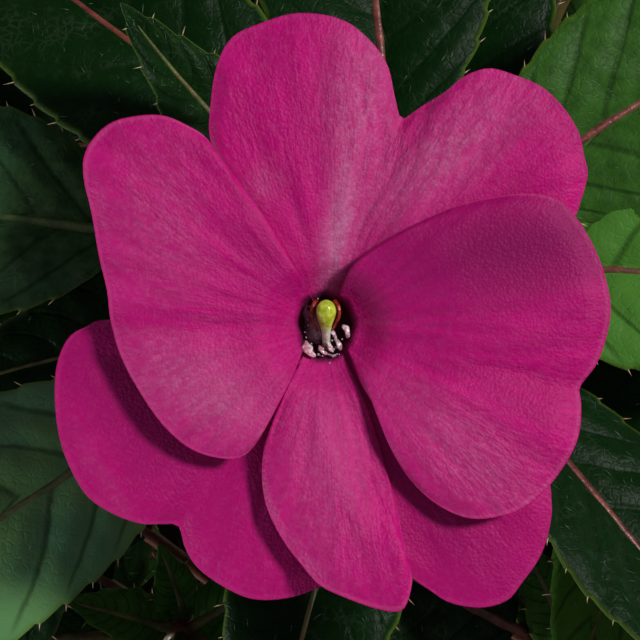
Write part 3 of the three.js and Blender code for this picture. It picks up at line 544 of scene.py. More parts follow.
def wantedLeaves():
    # each whorl of each outer shoot, every measure a little uneven, then the lower leaves of the centre
    wanted = []
    for k, shoot in enumerate(shoots[1:], 1):
        for n, whorl in enumerate(whorls):
            for m, turn in enumerate(whorl["turns"]):
                number = 20 * k + 6 * n + m
                wanted.append({
                    "shoot": k,
                    "base": onShoot(shoot, whorl["at"]),
                    "azimuth": shoot["azimuth"] + turn + 6 * sway(number),
                    "elevation": whorl["rise"] + 4 * sway(number + 0.5),
                    "droop": whorl["droop"] + 5 * sway(number + 0.3),
                    "length": whorl["length"] * (1 + 0.08 * sway(number + 0.7)),
                    "width": whorl["width"] * (1 + 0.06 * sway(number + 0.1)),
                    "stalk": whorl["stalk"],
                    "roll": 7 * sway(number + 0.9),
                    "bend": 4 * sway(number + 0.6),
                    "phase": 3 * sway(number + 0.2),
                })
    wanted += [centreLeaf(row, n + 20) for n, row in enumerate(lowerCentreLeaves)]
    return sorted(wanted, key=lambda leaf: leaf["base"][2])


def thingsInTheWay():
    # points of the stems, the stalks and the spurs, how near a leaf may come to each, and the shoot of each
    rows = []
    for k, shoot in enumerate(shoots):
        above = shoot["curve"][2] + np.outer([4, 8, 12, 16], upward)
        rows.append((concatenate([onShoot(shoot, arange(25) / 24), above]), settle["nearStem"], k))
    for stalk in stalks:
        rows.append((bezier(*stalk["points"], arange(2, 17) / 16), settle["nearStalk"], -1))
    for flower in flowers:
        rows.append((moved(flower["matrix"], spurPath), settle["nearStalk"], -1))
    sizes = [len(row[0]) for row in rows]
    points = concatenate([row[0] for row in rows])
    return points, *(np.repeat([row[k] for row in rows], sizes) for k in (1, 2))


def settledLeaves():
    # ground holds the height of what lies in each cell and roof the height of what hangs over it
    size = int(2 * settle["half"] / settle["cell"])
    middle = (arange(size) + 0.5) * settle["cell"] - settle["half"]
    overPot = hypot(middle[:, None], middle) < potShape["rimRadius"] + settle["cell"]
    ground = where(overPot, potShape["height"] + 1.0, settle["lowest"]).ravel()
    roof = full(size * size, 1e6)
    r, turn = gridOf(arange(0, bloomShape["reach"] + 1, 2), radians(arange(0, 360, 4)))
    disc = stack([r * cos(turn), r * sin(turn), full(r.shape, bloomShape["underside"])], -1).reshape(-1, 3)
    for flower in flowers:
        points = moved(flower["matrix"], disc)
        np.minimum.at(roof, cellsOf(points), points[:, 2])
    settled = [centreLeaf(row, n) for n, row in enumerate(upperCentreLeaves)]
    for leaf in settled:
        points = leafSamples(leaf)
        np.minimum.at(roof, cellsOf(points), points[:, 2] - settle["skin"])

    tries = []
    for turn in settle["turns"]:
        for tilt in settle["tilts"]:
            for scale in settle["scales"]:
                cost = abs(turn) * settle["turnCost"] + (settle["downCost"] * tilt if tilt < 0 else tilt)
                tries.append((cost + (1 - scale) * settle["scaleCost"], turn, tilt, scale))
    tries.sort(key=lambda one: one[0])

    poles, near, owner = thingsInTheWay()
    for leaf in wantedLeaves():
        others = owner != leaf["shoot"]
        for cost, turn, tilt, scale in tries:
            trial = {**leaf, "azimuth": leaf["azimuth"] + turn, "elevation": leaf["elevation"] + tilt}
            for key in ("length", "width", "stalk"):
                trial[key] = leaf[key] * scale
            points = leafSamples(trial)
            cells, height = cellsOf(points), points[:, 2]
            if np.any(height - settle["skin"] < ground[cells] + settle["gap"]):
                continue
            if np.any(height + settle["skin"] > roof[cells] - settle["gap"]):
                continue
            if np.any(((points[:, None] - poles[others]) ** 2).sum(-1) < near[others] ** 2):
                continue
            np.maximum.at(ground, cells, height + settle["skin"])
            settled.append(trial)
            break
    return settled


# Young leaves in a tuft at the tip of each outer shoot

tuft = {
    "count": 5, "rise": 44, "riseStep": 5, "droop": 34, "length": 21, "width": 8.5, "stalk": 3.5, "spread": 6,
    "turn": 137.5, "shrink": 0.09, "at": 0.99, "atStep": 0.012,
}


def youngLeaves():
    # each next leaf stands a golden turn on, a little lower, steeper and smaller
    made = []
    for k, shoot in enumerate(shoots[1:], 1):
        for n in range(tuft["count"]):
            uneven = sway(11 * k + n)
            share = 1 - tuft["shrink"] * n
            made.append({
                "shoot": k,
                "base": onShoot(shoot, tuft["at"] - tuft["atStep"] * n),
                "azimuth": shoot["azimuth"] + tuft["turn"] * n + 25 + 12 * uneven,
                "elevation": tuft["rise"] + tuft["spread"] * uneven + tuft["riseStep"] * n,
                "droop": tuft["droop"] + 8 * sway(5 * k + n),
                "length": tuft["length"] * share,
                "width": tuft["width"] * share,
                "stalk": tuft["stalk"],
                "roll": 8 * uneven,
                "bend": 1.5 * uneven,
                "phase": 3 * sway(3 * k + 2 * n),
            })
    return made


leaves = settledLeaves()
print("leaves in place:", len(leaves))
settledCount = len(leaves)
leaves += youngLeaves()


# Looks: openLook starts a material, the node helpers add to the one opened last, and closeLook ends it

look = {}


def paint(red, green, blue):
    # a screen colour of 0 to 255 as linear light
    c = array([red, green, blue]) / 255
    linear = where(c <= 0.04045, c / 12.92, ((c + 0.055) / 1.055) ** 2.4)
    return (*[float(v) for v in linear], 1.0)


def openLook(name, sockets):
    # a material with fixed values on its shader's own sockets
    material = bpy.data.materials.new(name)
    material.use_nodes = True
    tree = material.node_tree
    look.update(material=material, tree=tree, shader=tree.nodes["Principled BSDF"])
    for key, value in sockets.items():
        look["shader"].inputs[key].default_value = value


def addNode(kind, inputs, **settings):
    # one node; each input takes another node's output or a fixed value
    made = look["tree"].nodes.new("ShaderNode" + kind)
    for key, value in settings.items():
        setattr(made, key, value)
    for key, value in inputs.items():
        if isinstance(value, bpy.types.NodeSocket):
            look["tree"].links.new(value, made.inputs[key])
        else:
            made.inputs[key].default_value = value
    return made.outputs


def closeLook(colour, height=None, depth=0.0, strength=1.0, rough=None):
    # links the colour, the roughness and a bump whose height is depth metres times strength
    ends = {"Base Color": colour, "Roughness": rough}
    if height is not None:
        ends["Normal"] = addNode("Bump", {"Height": height, "Distance": depth, "Strength": strength})[0]
    for key, value in ends.items():
        if value is not None:
            look["tree"].links.new(value, look["shader"].inputs[key])
    return look["material"]


def calc(operation, a, b=0.0, c=0.0, hold=False):
    # one step of arithmetic, held between 0 and 1 where asked
    return addNode("Math", {0: a, 1: b, 2: c}, operation=operation, use_clamp=hold)[0]


def times(a, b, hold=False):
    # a b
    return calc("MULTIPLY", a, b, hold=hold)


def timesPlus(a, b, c, hold=False):
    # a b + c
    return calc("MULTIPLY_ADD", a, b, c, hold)


def between(value, low, high, outLow=0.0, outHigh=1.0):
    # value carried smoothly from low..high to outLow..outHigh
    inputs = {"Value": value, "From Min": low, "From Max": high, "To Min": outLow, "To Max": outHigh}
    return addNode("MapRange", inputs, interpolation_type="SMOOTHSTEP")[0]


def layered(colour, *layers):
    # each layer (share, other) turns the colour so far into colour (1 - share) + other share
    for share, other in layers:
        colour = addNode("Mix", {0: share, 6: colour, 7: other}, data_type="RGBA")[2]
    return colour


def tint(value, low, high, first, second):
    # from the first to the second colour as the value goes from low to high
    return layered(first, (between(value, low, high), second))


def noise(place, scale, detail=2.0, rough=0.5, bend=0.0):
    # fractal noise, bent by itself where asked
    inputs = {"Vector": place, "Scale": scale, "Detail": detail, "Roughness": rough, "Distortion": bend}
    return addNode("TexNoise", inputs)["Fac"]


def field(name):
    # a named value of the piece's points
    return addNode("Attribute", {}, attribute_name=name)["Fac"]


def objectPlace():
    # the place on the piece, in metres
    return addNode("TexCoord", {})["Object"]


def mapPlace():
    # the two measures of the piece's own map
    return addNode("SeparateXYZ", {0: addNode("UVMap", {}, uv_map="map")[0]})[:2]


def stretched(place, upwards):
    # the place with its height scaled
    return addNode("Mapping", {"Vector": place, "Scale": (1.0, 1.0, upwards)})[0]


def speckledLook(name, tints, scale, rough, depth=0.0, grain=(4.0, 0.6), share=0.3):
    # two close colours mixed by a noise, with a fine bump of the same noise
    openLook(name, {"Roughness": rough})
    speck = noise(objectPlace(), scale, *grain)
    colour = tint(speck, share, 1 - share, *tints)
    return closeLook(colour, speck, depth, 0.8) if depth else closeLook(colour)


# Leaf blades and their finish: how finely each kind is made, millimetres, then colours

leafFinish = {
    "front": {"stations": 150, "columns": 27, "rib": 34, "hairs": 150},
    "grown": {"stations": 72, "columns": 13, "rib": 26, "hairs": 60},
    "young": {"stations": 36, "columns": 9, "rib": 14, "hairs": 60},
    "youngLength": 25, "frontDrop": 10, "hairsPer": 75,
    "thick": 0.42, "rimThick": 0.16, "ribRadius": 1.12,
    "toothPitch": 4.4, "toothDepth": 0.5, "toothTop": 0.86, "bristleLength": 1.25, "bristleRadius": 0.13,
    "veins": 9, "veinSweep": 0.2, "veinBend": 1.3, "veinDepth": 0.2, "quilt": 0.34, "crumple": 0.12,
    "midribDepth": 0.35, "hairLength": 1.5, "hairRadius": 0.035, "roughness": 0.42, "gloss": 0.07,
    # the blue green is a painted sheen and the groove green painted shade in the vein grooves; the dull green
    # is a leaf's own duller colour, made lighter to paint light onto leaves that lie in shade
    "deepGreen": paint(7, 34, 7), "freshGreen": paint(72, 123, 45), "dullLitGreen": paint(92, 136, 83),
    "sheenBlueGreen": paint(64, 116, 96), "grooveShadeGreen": paint(14, 34, 12), "veinGreen": paint(132, 160, 130),
    "underGreen": paint(84, 116, 78), "edgeGreen": paint(92, 118, 40),
}
stemFinish = {
    "red": (paint(88, 30, 32), paint(130, 68, 56)), "green": (paint(52, 78, 36), paint(94, 116, 60)),
    "swellings": (0.16, 0.42, 0.7, 0.94), "swell": 0.45, "stations": 46, "sides": 16, "stalkStations": 30,
}


def leafDetail(leaf):
    # how finely a leaf is made: young by its length, front where it leaves the top of the centre shoot
    if leaf["length"] < leafFinish["youngLength"]:
        return leafFinish["young"]
    front = leaf["shoot"] == 0 and leaf["base"][2] > centreShoot["tip"][2] - leafFinish["frontDrop"]
    return leafFinish["front" if front else "grown"]


def leafTeeth(leaf, x, side):
    # the tooth's rise over its pitch, (p / top)^0.8 and then straight down, less its mean, faded at both ends
    top = leafFinish["toothTop"]
    p = mod(x * np.round(leaf["length"] / leafFinish["toothPitch"]) + 0.37 * side + leaf["phase"], 1.0)
    rise = where(p < top, (p / top) ** 0.8, (1 - p) / (1 - top))
    return leafFinish["toothDepth"] * (rise - 0.5) * smooth(x / 0.1) * smooth((1 - x) / 0.06)


def veinCount(leaf, x, t):
    # rises by 1 from each side vein to the next: (x - sweep |t|^bend) veins, half a step later on one
    # side and a little uneven
    sweep = leafFinish["veinSweep"] * np.abs(t) ** leafFinish["veinBend"]
    q = (x - sweep) * leafFinish["veins"] + 0.5 * (t < 0)
    q = q + 0.13 * np.abs(t) * sin(1.9 * q + 2.3 * t + leaf["phase"])
    return q + 0.05 * sin(7 * t + 4 * x + leaf["phase"])


def leafRelief(leaf, x, t):
    # quilting between the side veins, less the grooves of the veins and of the midrib
    f, phase = leafFinish, leaf["phase"]
    q = veinCount(leaf, x, t)
    v = mod(q, 1.0)
    apart = np.minimum(v, 1 - v) * leaf["length"] / f["veins"]
    w = leafWidth(leaf, x)
    inside = smooth(np.abs(t) * w / 2.2) * smooth((1 - np.abs(t)) / 0.3)
    inside = inside * smooth(x / 0.06) * smooth((1 - x) / 0.15)
    bulge = f["quilt"] * (sin(pi * v) ** 2 - 0.5) - f["veinDepth"] * exp(-(apart / 0.5) ** 2)
    groove = f["midribDepth"] * exp(-(t * w / 1.3) ** 2) * smooth(x / 0.05) * smooth((1 - x) / 0.2)
    crumple = f["crumple"] * sin(9 * q + 4 * t + phase) * sin(11 * t * w / 6 + 3 * phase)
    return inside * (bulge + crumple) * np.minimum(1, w / 8) - groove


def leafBlade(leaf, tone):
    # leafPoint on a grid of x and t, with the teeth put out at the margins and thinner at the rim
    f, detail = leafFinish, leafDetail(leaf)
    x, t = gridOf(linspace(0, 1, detail["stations"]), linspace(-1, 1, detail["columns"]))
    aside = np.sign(t) * smooth((np.abs(t) - 0.7) / 0.3) * leafTeeth(leaf, x, np.sign(t))
    grid = leafPoint(leaf, onLeaf(leaf, x), t, aside, leafRelief(leaf, x, t))
    thick = f["rimThick"] + (f["thick"] - f["rimThick"]) * smooth((1 - np.abs(t)) / 0.25)
    return sheetPart(grid, thick, stack([x, (t + 1) / 2], -1), {"tone": tone, "vein": veinCount(leaf, x, t)})


def leafRib(leaf, blush):
    # the stalk, which runs on under the blade as the midrib and thins to the tip
    end = onLeaf(leaf, 0)
    s = concatenate([linspace(0, end, 9), linspace(end, 0.985, leafDetail(leaf)["rib"])[1:]])
    middle, forward, across, normal, x = leafLines(leaf, s)
    radius = where(x < 0, 1 - smooth(-x * 4) * 0.12 / 1.12, 1 - 0.86 * clip(x, 0, 1) ** 0.7)
    radius = radius * leafFinish["ribRadius"]
    middle = middle - normal * (radius * (0.35 + 0.35 * smooth(x * 3)))[:, None]
    return tubePart(middle, radius, 9, {"blush": blush})


def leafBristles(leaf):
    # one needle at the point of each tooth, leaning forward and out
    count = int(np.round(leaf["length"] / leafFinish["toothPitch"]))
    base, tip = [], []
    for side in (-1.0, 1.0):
        x = (arange(count + 1) + leafFinish["toothTop"] - mod(0.37 * side + leaf["phase"], 1.0)) / count
        x = x[(x > 0.06) & (x < 0.985)]
        s = onLeaf(leaf, x)
        edge = leafPoint(leaf, s, full(len(x), side), side * leafTeeth(leaf, x - 0.001, side))
        forward, across, normal = leafLines(leaf, s)[1:4]
        lean = unit(0.62 * forward + 0.78 * side * across + 0.25 * normal)
        uneven = 0.8 + 0.3 * sway(3.1 * arange(len(x)) + leaf["phase"])
        base.append(edge - 0.25 * side * across)
        tip.append(edge + lean * leafFinish["bristleLength"] * uneven[:, None])
    return conesPart(concatenate(base), concatenate(tip), leafFinish["bristleRadius"])


def leafHairs(leaf, rng):
    # fine hairs strewn over the upper face, nearly flat, pointing forward and aside
    count = int(leafDetail(leaf)["hairs"] * leaf["length"] / leafFinish["hairsPer"])
    x, t = rng.uniform(0.04, 0.95, count), rng.uniform(-0.92, 0.92, count)
    s = onLeaf(leaf, x)
    forward, across, normal = leafLines(leaf, s)[1:4]
    base = leafPoint(leaf, s, t, 0.0, leafRelief(leaf, x, t) + leafFinish["thick"] / 2 - 0.03)
    aside, up = rng.uniform(-1.3, 1.3, (count, 1)), rng.uniform(0.12, 0.5, (count, 1))
    reach = leafFinish["hairLength"] * rng.uniform(0.5, 1.1, (count, 1))
    tip = base + unit(forward + aside * across + up * normal) * reach
    return conesPart(base, tip, leafFinish["hairRadius"])


def makeLeafLook():
    # green by the blade's tone, fresh above 0 and dull below, with blotches of painted bluish sheen on the
    # dull leaves, painted shade in the grooves of the side veins, a broken pale net, a light edge and a pale
    # underside;
    # the bump is the net, small cells, the side veins and a mottle
    f = leafFinish
    openLook("leafGreen", {"Roughness": f["roughness"], "Specular IOR Level": f["gloss"]})
    x, y = mapPlace()
    place = objectPlace()
    t = calc("ABSOLUTE", timesPlus(y, 2.0, -1.0))
    wobble = timesPlus(noise(place, 420.0), 0.05, -0.025)
    apart = calc("ABSOLUTE", calc("ADD", calc("PINGPONG", field("vein"), 0.5), wobble))
    fade = times(between(t, 0.8, 1.0, 1.0, 0.0), between(x, 0.85, 1.0, 1.0, 0.0))
    sideVein = times(between(apart, 0.01, 0.12, 1.0, 0.0), fade)
    bent = addNode("TexNoise", {"Vector": place, "Scale": 700.0})["Color"]
    bent = addNode("VectorMath", {0: bent, 3: 0.0014}, operation="SCALE")[0]
    bent = addNode("VectorMath", {0: place, 1: bent}, operation="ADD")[0]
    net = addNode("TexVoronoi", {"Vector": bent, "Scale": 760.0}, feature="DISTANCE_TO_EDGE")["Distance"]
    netVein = between(net, 0.0, 0.16, 1.0, 0.0)
    broken = times(netVein, between(noise(place, 210.0), 0.5, 0.68))
    mottle = noise(place, 480.0, 3.0, 0.6)
    tone = calc("ADD", field("tone"), timesPlus(mottle, 0.5, -0.25))
    # blotches of painted bluish sheen, a painted reflection, on the dull leaves
    blue = times(between(tone, 0.05, -1.0), between(noise(place, 70.0, 3.0), 0.42, 0.66))
    green = layered(
        tint(tone, 0.0, 1.0, f["deepGreen"], f["freshGreen"]),
        # a paler dull green for tones below 0: partly the leaf's own colour, partly painted light
        (between(tone, 0.0, -1.0), f["dullLitGreen"]),
        (times(blue, 0.5), f["sheenBlueGreen"]),
        # painted shade in the grooves of the side veins
        (times(sideVein, 0.5), f["grooveShadeGreen"]),
        (times(broken, between(tone, 0.1, -0.6, 0.03, 0.12)), f["veinGreen"]),
        (times(between(t, 0.94, 1.0), 0.5), f["edgeGreen"]),
        (times(field("under"), 0.75), f["underGreen"]),
    )
    cells = addNode("TexVoronoi", {"Vector": place, "Scale": 2600.0})["Distance"]
    height = timesPlus(sideVein, -0.8, timesPlus(netVein, -0.25, times(cells, 0.12)))
    rough = timesPlus(noise(place, 160.0, 3.0), 0.2, f["roughness"] - 0.1)
    return closeLook(green, timesPlus(mottle, 0.7, height), 0.00014, 0.8, rough)


def makeStemLook():
    # green or red by the stem's blush, both streaked upwards, with the streaks as a bump
    openLook("stemGreen", {"Roughness": 0.36, "Subsurface Weight": 0.12, "Subsurface Scale": 0.002})
    place = objectPlace()
    streak = noise(stretched(place, 0.25), 420.0, 3.0, 0.6)
    green, red = (tint(streak, 0.3, 0.7, *stemFinish[key]) for key in ("green", "red"))
    blush = timesPlus(calc("SUBTRACT", noise(place, 130.0, 3.0), 0.5), 0.5, field("blush"))
    height = calc("ADD", streak, noise(place, 1500.0))
    return closeLook(tint(blush, 0.15, 0.85, green, red), height, 0.00012, 0.6)


def stemPart(shoot):
    # straight up through the soil, then the shoot's curve, a little swollen where leaves leave it
    s = linspace(0, 1, stemFinish["stations"])
    bowed = onShoot(shoot, s)
    foot = array([*bowed[0][:2], stemShape["foot"]])
    path = concatenate([foot + (bowed[0] - foot) * linspace(0, 1, 8, endpoint=False)[:, None], bowed])
    s = concatenate([np.zeros(8), s])
    radius = stemShape["radius"] + (stemShape["tipRadius"] - stemShape["radius"]) * s
    for at in stemFinish["swellings"]:
        radius = radius + stemFinish["swell"] * exp(-((s - at) / 0.022) ** 2)
    blush = 0.25 + 0.5 * exp(-((mod(s * 3.6, 1) - 0.5) / 0.16) ** 2)
    return tubePart(path, radius, stemFinish["sides"], {"blush": blush})


def stalkPart(stalk):
    # the stalk's curve, wider at its foot by 0.35 e^(-14 s), redder towards the flower
    s = linspace(0, 1, stemFinish["stalkStations"])
    radius = flowerStalk["radius"] * (1 + 0.35 * exp(-14 * s))
    return tubePart(bezier(*stalk["points"], s), radius, 10, {"blush": 0.35 + 0.6 * s})


# The leaves that show beside the main flower, in the order of their list: tone of the blade (fresh above 0,
# dull below) and blush of the midrib. The tones are partly the leaves' own colour and partly painted light and
# shade: some leaves in the flower's shadow take light tones to look lit, others deep tones to look shaded
leafTones = [
    (-0.35, 0.1), (-1.3, 0.3), (0.0, 0.95), (0.0, 1.0), (0.92, 0.6), (0.0, 0.9), (0.46, 0.8), (0.08, 0.4),
    (0.1, 0.4),
]
# the centre leaves, deep in the gaps, take a deep tone: painted shade
otherTones = {"centre": (0.0, 0.4), "young": (0.55, 0.35)}


def toneOf(n, leaf):
    # tone and blush of leaf n: listed, uneven on the outer shoots, or that of the young leaves
    if n < len(leafTones):
        return leafTones[n]
    if n >= settledCount:
        return otherTones["young"]
    if leaf["shoot"] == 0:
        return otherTones["centre"]
    return 0.25 + 0.55 * sway(5 * n), 0.62 + 0.3 * sway(3 * n)


leafLook, stemLook = makeLeafLook(), makeStemLook()
bristles, hairs = [], []
hairRng = np.random.default_rng(3)
for k, shoot in enumerate(shoots):
    blades, ribs = [], [stemPart(shoot)]
    for n, leaf in enumerate(leaves):
        if leaf["shoot"] == k:
            tone, blush = toneOf(n, leaf)
            blades.append(leafBlade(leaf, tone))
            ribs.append(leafRib(leaf, blush))
            bristles.append(leafBristles(leaf))
            hairs.append(leafHairs(leaf, hairRng))
    ribs += [stalkPart(stalk) for stalk in stalks if stalk["shoot"] == k]
    makePiece(f"leaves_{k}", blades, leafLook, "foliage", shoot["name"])
    makePiece(f"stems_{k}", ribs, stemLook, "foliage", shoot["name"])
for name, parts, lookName, tints in (
    ("leaf_bristles", bristles, "bristlePink", (paint(170, 128, 96), paint(214, 190, 156))),
    ("leaf_hairs", hairs, "hairPale", (paint(82, 112, 84), paint(136, 164, 138))),
):
    makePiece(name, parts, speckledLook(lookName, tints, 240.0, 0.5, grain=(2.0, 0.5), share=0.35), "foliage")


# Petals: rays from the throat to a smooth outline, dipped at the throat and lifted by place in the stack

# front and aside say how fine the main and the other flowers are: rows and step of the petals in
# millimetres, sides of the cup and of the spur
petalFinish = {
    "front": (52, 0.8, 56, 14), "aside": (18, 1.8, 28, 9), "thick": 0.34, "rimThick": 0.14,
    "crown": 0.5, "rimFall": 0.55, "fan": (0.07, 0.03), "frill": (0.28, 0.16), "crinkle": 0.03,
    # lit and deep are the petal's own streak tints; shaded is painted shade, pale is painted glare and glints,
    # rim and edge are painted highlights along the rim
    "topCrinkle": 2.6, "lit": paint(197, 4, 119), "deep": paint(175, 2, 105), "shaded": paint(136, 4, 86),
    "pale": paint(196, 112, 158), "rim": paint(204, 100, 152), "edge": paint(196, 0, 112),
    "dark": paint(66, 24, 42), "back": paint(184, 62, 132),
}

# Painted glare (amount above 0, paler) and painted shade (below 0, darker) on each petal: middle x and y,
# reach along and across, the angle of its length and the amount
glareAndShadePatches = {
    "top": [
        (4.2, 27.0, 8.5, 4.0, 84, 0.42), (1.5, 11.5, 8.0, 1.5, 81, 0.8), (13.5, 20.0, 13.0, 4.0, 40, 0.42),
        (-7.5, 17.0, 2.4, 1.8, 60, 0.22),
    ],
    "right": [
        (22.0, 9.5, 17.0, 6.5, 8, -1.0), (16.5, -14.5, 13.0, 4.6, -42, 0.24), (6.5, 0.6, 5.0, 0.7, -3, 0.3),
        (14.0, -3.6, 10.0, 2.0, -20, -0.2),
    ],
    "left": [
        (-19.0, 11.5, 10.0, 6.0, 95, 0.18), (-14.0, -7.5, 9.5, 4.6, -28, 0.42),
        (-7.0, 8.0, 9.0, 3.0, -58, -0.3), (-14.0, 1.2, 12.0, 0.9, 0, -0.3), (-4.5, 1.8, 3.5, 1.2, -40, 0.2),
    ],
    "bottom": [(0.0, -17.0, 11.0, 4.5, 95, 0.22)],
    "lowerLeft": [(-24.0, -8.0, 16.0, 6.0, -55, -0.5), (-28.0, -14.0, 12.0, 1.8, -60, 0.2)],
    "lowerRight": [(14.0, -24.0, 14.0, 5.0, -40, -0.45)],
}

# The mouth of the throat: an ellipse that is longer above than below, whose wall goes down to the cup
mouth = {"side": 3.0, "above": 4.0, "below": 3.5, "lip": 1.1, "depth": -2.4}
petalShapes = [dict(zip(("name", "lift", "level", "crease", "outline"), row)) for row in petalRows]


def mouthRadius(x, y):
    # the ellipse's radius in the direction of (x, y), a little uneven
    tall = where(y > 0, mouth["above"], mouth["below"])
    uneven = 1 + 0.05 * sin(3 * arctan2(y, x) + 0.6) + 0.02 * sin(9 * arctan2(y, x))
    return uneven * hypot(x, y) / np.maximum(hypot(x / mouth["side"], y / tall), 1e-9)


def glareAndShadeOf(name, x, y):
    # painted glare and shade: the sum of amount e^(-(along / reach)^2 - (across / breadth)^2)
    # over the petal's patches
    total = np.zeros_like(x)
    for middleX, middleY, reach, breadth, angle, amount in glareAndShadePatches[name]:
        c, s = cos(radians(angle)), sin(radians(angle))
        lengthwise = ((x - middleX) * c + (y - middleY) * s) / reach
        across = ((y - middleY) * c - (x - middleX) * s) / breadth
        total = total + amount * exp(-lengthwise ** 2 - across ** 2)
    return total


def petalHeight(petal, x, y):
    # dip at the throat + step of the stack + lift, less the seam along the bottom petal's right side
    r = hypot(x, y)
    dip = -bloomShape["baseDepth"] * (1 - smooth((r - bloomShape["baseRadius"]) / 5))
    height = dip + bloomShape["levelStep"] * petal["level"] * (1 - smooth(r / 14))
    height = height + petal["lift"] * smooth(r / 17)
    if petal["name"] == "bottom":
        seam = smooth((x + 0.32 * y + 4.5) / 5) * (1 - smooth((-y - 19) / 8))
        height = height - 1.6 * seam * smooth(r / 17)
    lip = 1 - smooth((r - mouthRadius(x, y)) / mouth["lip"])
    return height + (mouth["depth"] - height) * lip ** 2


def petalRelief(petal, x, y, u, t):
    # less the crease from the notch, plus long ripples fanning out from the throat and a wavy, falling rim
    f, level, top = petalFinish, petal["level"], petal["name"] == "top"
    r, angle = hypot(x, y), arctan2(y, x)
    creaseX, creaseY, depth, width = petal["crease"]
    off = (x * creaseY - y * creaseX) / hypot(creaseX, creaseY)
    crease = depth * exp(-(off / width) ** 2) * smooth((x * creaseX + y * creaseY) / 60) * smooth(r / 14)
    fan = f["fan"][0] * sin(23 * angle + 2.1 * sin(r / 5))
    fan = fan + f["fan"][1] * sin(41 * angle + 1.3 * sin(r / 3.4) + 1)
    crinkle = f["crinkle"] * sin(67 * angle + 2.2 * sin(r / 2.6)) * (f["topCrinkle"] if top else 1.0)
    crinkle = crinkle * smooth((x + 2) / 8 if top else r)
    frill = f["frill"][0] * sin(17 * t + 3 * level) + f["frill"][1] * sin(41 * t + level)
    crown = f["crown"] * sin(pi * u) * sin(pi * clip(t, 0, 1))
    relief = (fan + crinkle) * smooth(r / 16) + frill * smooth((u - 0.6) / 0.4) + crown * smooth(r / 12)
    return relief - crease - f["rimFall"] * smooth((u - 0.84) / 0.16) ** 2


def petalPart(petal, rows, step):
    # start (1 - u) + rim u, closer rows at both ends, raised by petalHeight + petalRelief; start lies on the
    # mouth and rim on the outline
    outline = array(petal["outline"], float)
    columns = int(norm(np.diff(outline, axis=0), axis=1).sum() / step)
    rim = curveThrough(outline, columns)
    t, v = linspace(0, 1, columns), linspace(0, 1, rows)
    start = outline[0] + (outline[-1] - outline[0]) * t[:, None]
    start = start * (mouthRadius(*start.T) / norm(start, axis=1))[:, None]
    u = v - 0.75 * sin(2 * pi * v) / (2 * pi)
    flat = start[None] * (1 - u)[:, None, None] + rim[None] * u[:, None, None]
    half = columns // 2
    if np.cross(rim[half] - start[half], rim[half + 1] - rim[half]) < 0:
        flat = flat[:, ::-1]
    x, y = flat[..., 0], flat[..., 1]
    u, t = gridOf(u, t)
    z = petalHeight(petal, x, y) + petalRelief(petal, x, y, u, t)
    angle = mod(arctan2(y, x) - arctan2(*outline.mean(0)[::-1]) + pi, 2 * pi) - pi
    thick = petalFinish["rimThick"] + (petalFinish["thick"] - petalFinish["rimThick"]) * smooth((1 - u) / 0.1)
    # strength of the painted highlight along the rim, weaker on the lower petals, which lie in shade
    rimHighlight = 0.3 if petal["level"] < 2 else 1.0
    values = {
        # painted glare (above 0) and painted shade (below 0) at each point
        "wash": glareAndShadeOf(petal["name"], x, y),
        "rim": smooth((u - 0.975) / 0.01) * smooth((1.0 - u) / 0.006) * rimHighlight,
        "edge": smooth((u - 0.99) / 0.008) * rimHighlight,
        "throat": 1 - smooth((hypot(x, y) - mouthRadius(x, y) + 0.1) / 1.2),
        # the petals lowest in the stack, darkened in the look as painted shade
        "lower": 1.0 if petal["level"] == 0 or petal["name"] == "lowerRight" else 0.0,
    }
    return sheetPart(stack([x, y, z], -1), thick, stack([0.5 + angle / 6.4, hypot(x, y) / 40], -1), values)


def spurPart(sides):
    # a thin tube along the spur's path, half as wide again where it leaves the cup
    s = linspace(0, 1, 40)
    radius = bloomShape["spurRadius"] + (bloomShape["spurTipRadius"] - bloomShape["spurRadius"]) * s
    return tubePart(curveThrough(spurPath, 40), radius * (1 + 0.5 * exp(-s * 14)), sides, {"under": 1.0})


def cupPart(sides):
    # the funnel under the petals, spun and stretched to the mouth's ellipse towards its top
    end, top, side = bloomShape["cupEnd"], mouth["depth"] + 0.2, mouth["side"]
    line = curveThrough([
        (0.02, end), (bloomShape["cupEndRadius"], end + 0.4), (3.0, -5.6), (4.1, -3.6), (4.2, top - 0.5),
        (3.9, top), (side + 0.3, top), (side + 0.05, top - 0.3), (2.4, -3.6), (1.2, -4.4), (0.02, -4.5),
    ], 44)
    line[:, 0] = np.maximum(line[:, 0], 0.02)
    inside = smooth((arange(44) - 22) / 3)
    part = spun(line, sides, {"throat": inside, "under": 1 - inside})
    x, y, z = part["points"].T
    share = smooth((z + 5) / 2) * smooth(hypot(x, y))
    part["points"][:, :2] *= (1 + (mouthRadius(x, y) / side - 1) * share)[:, None]
    return part


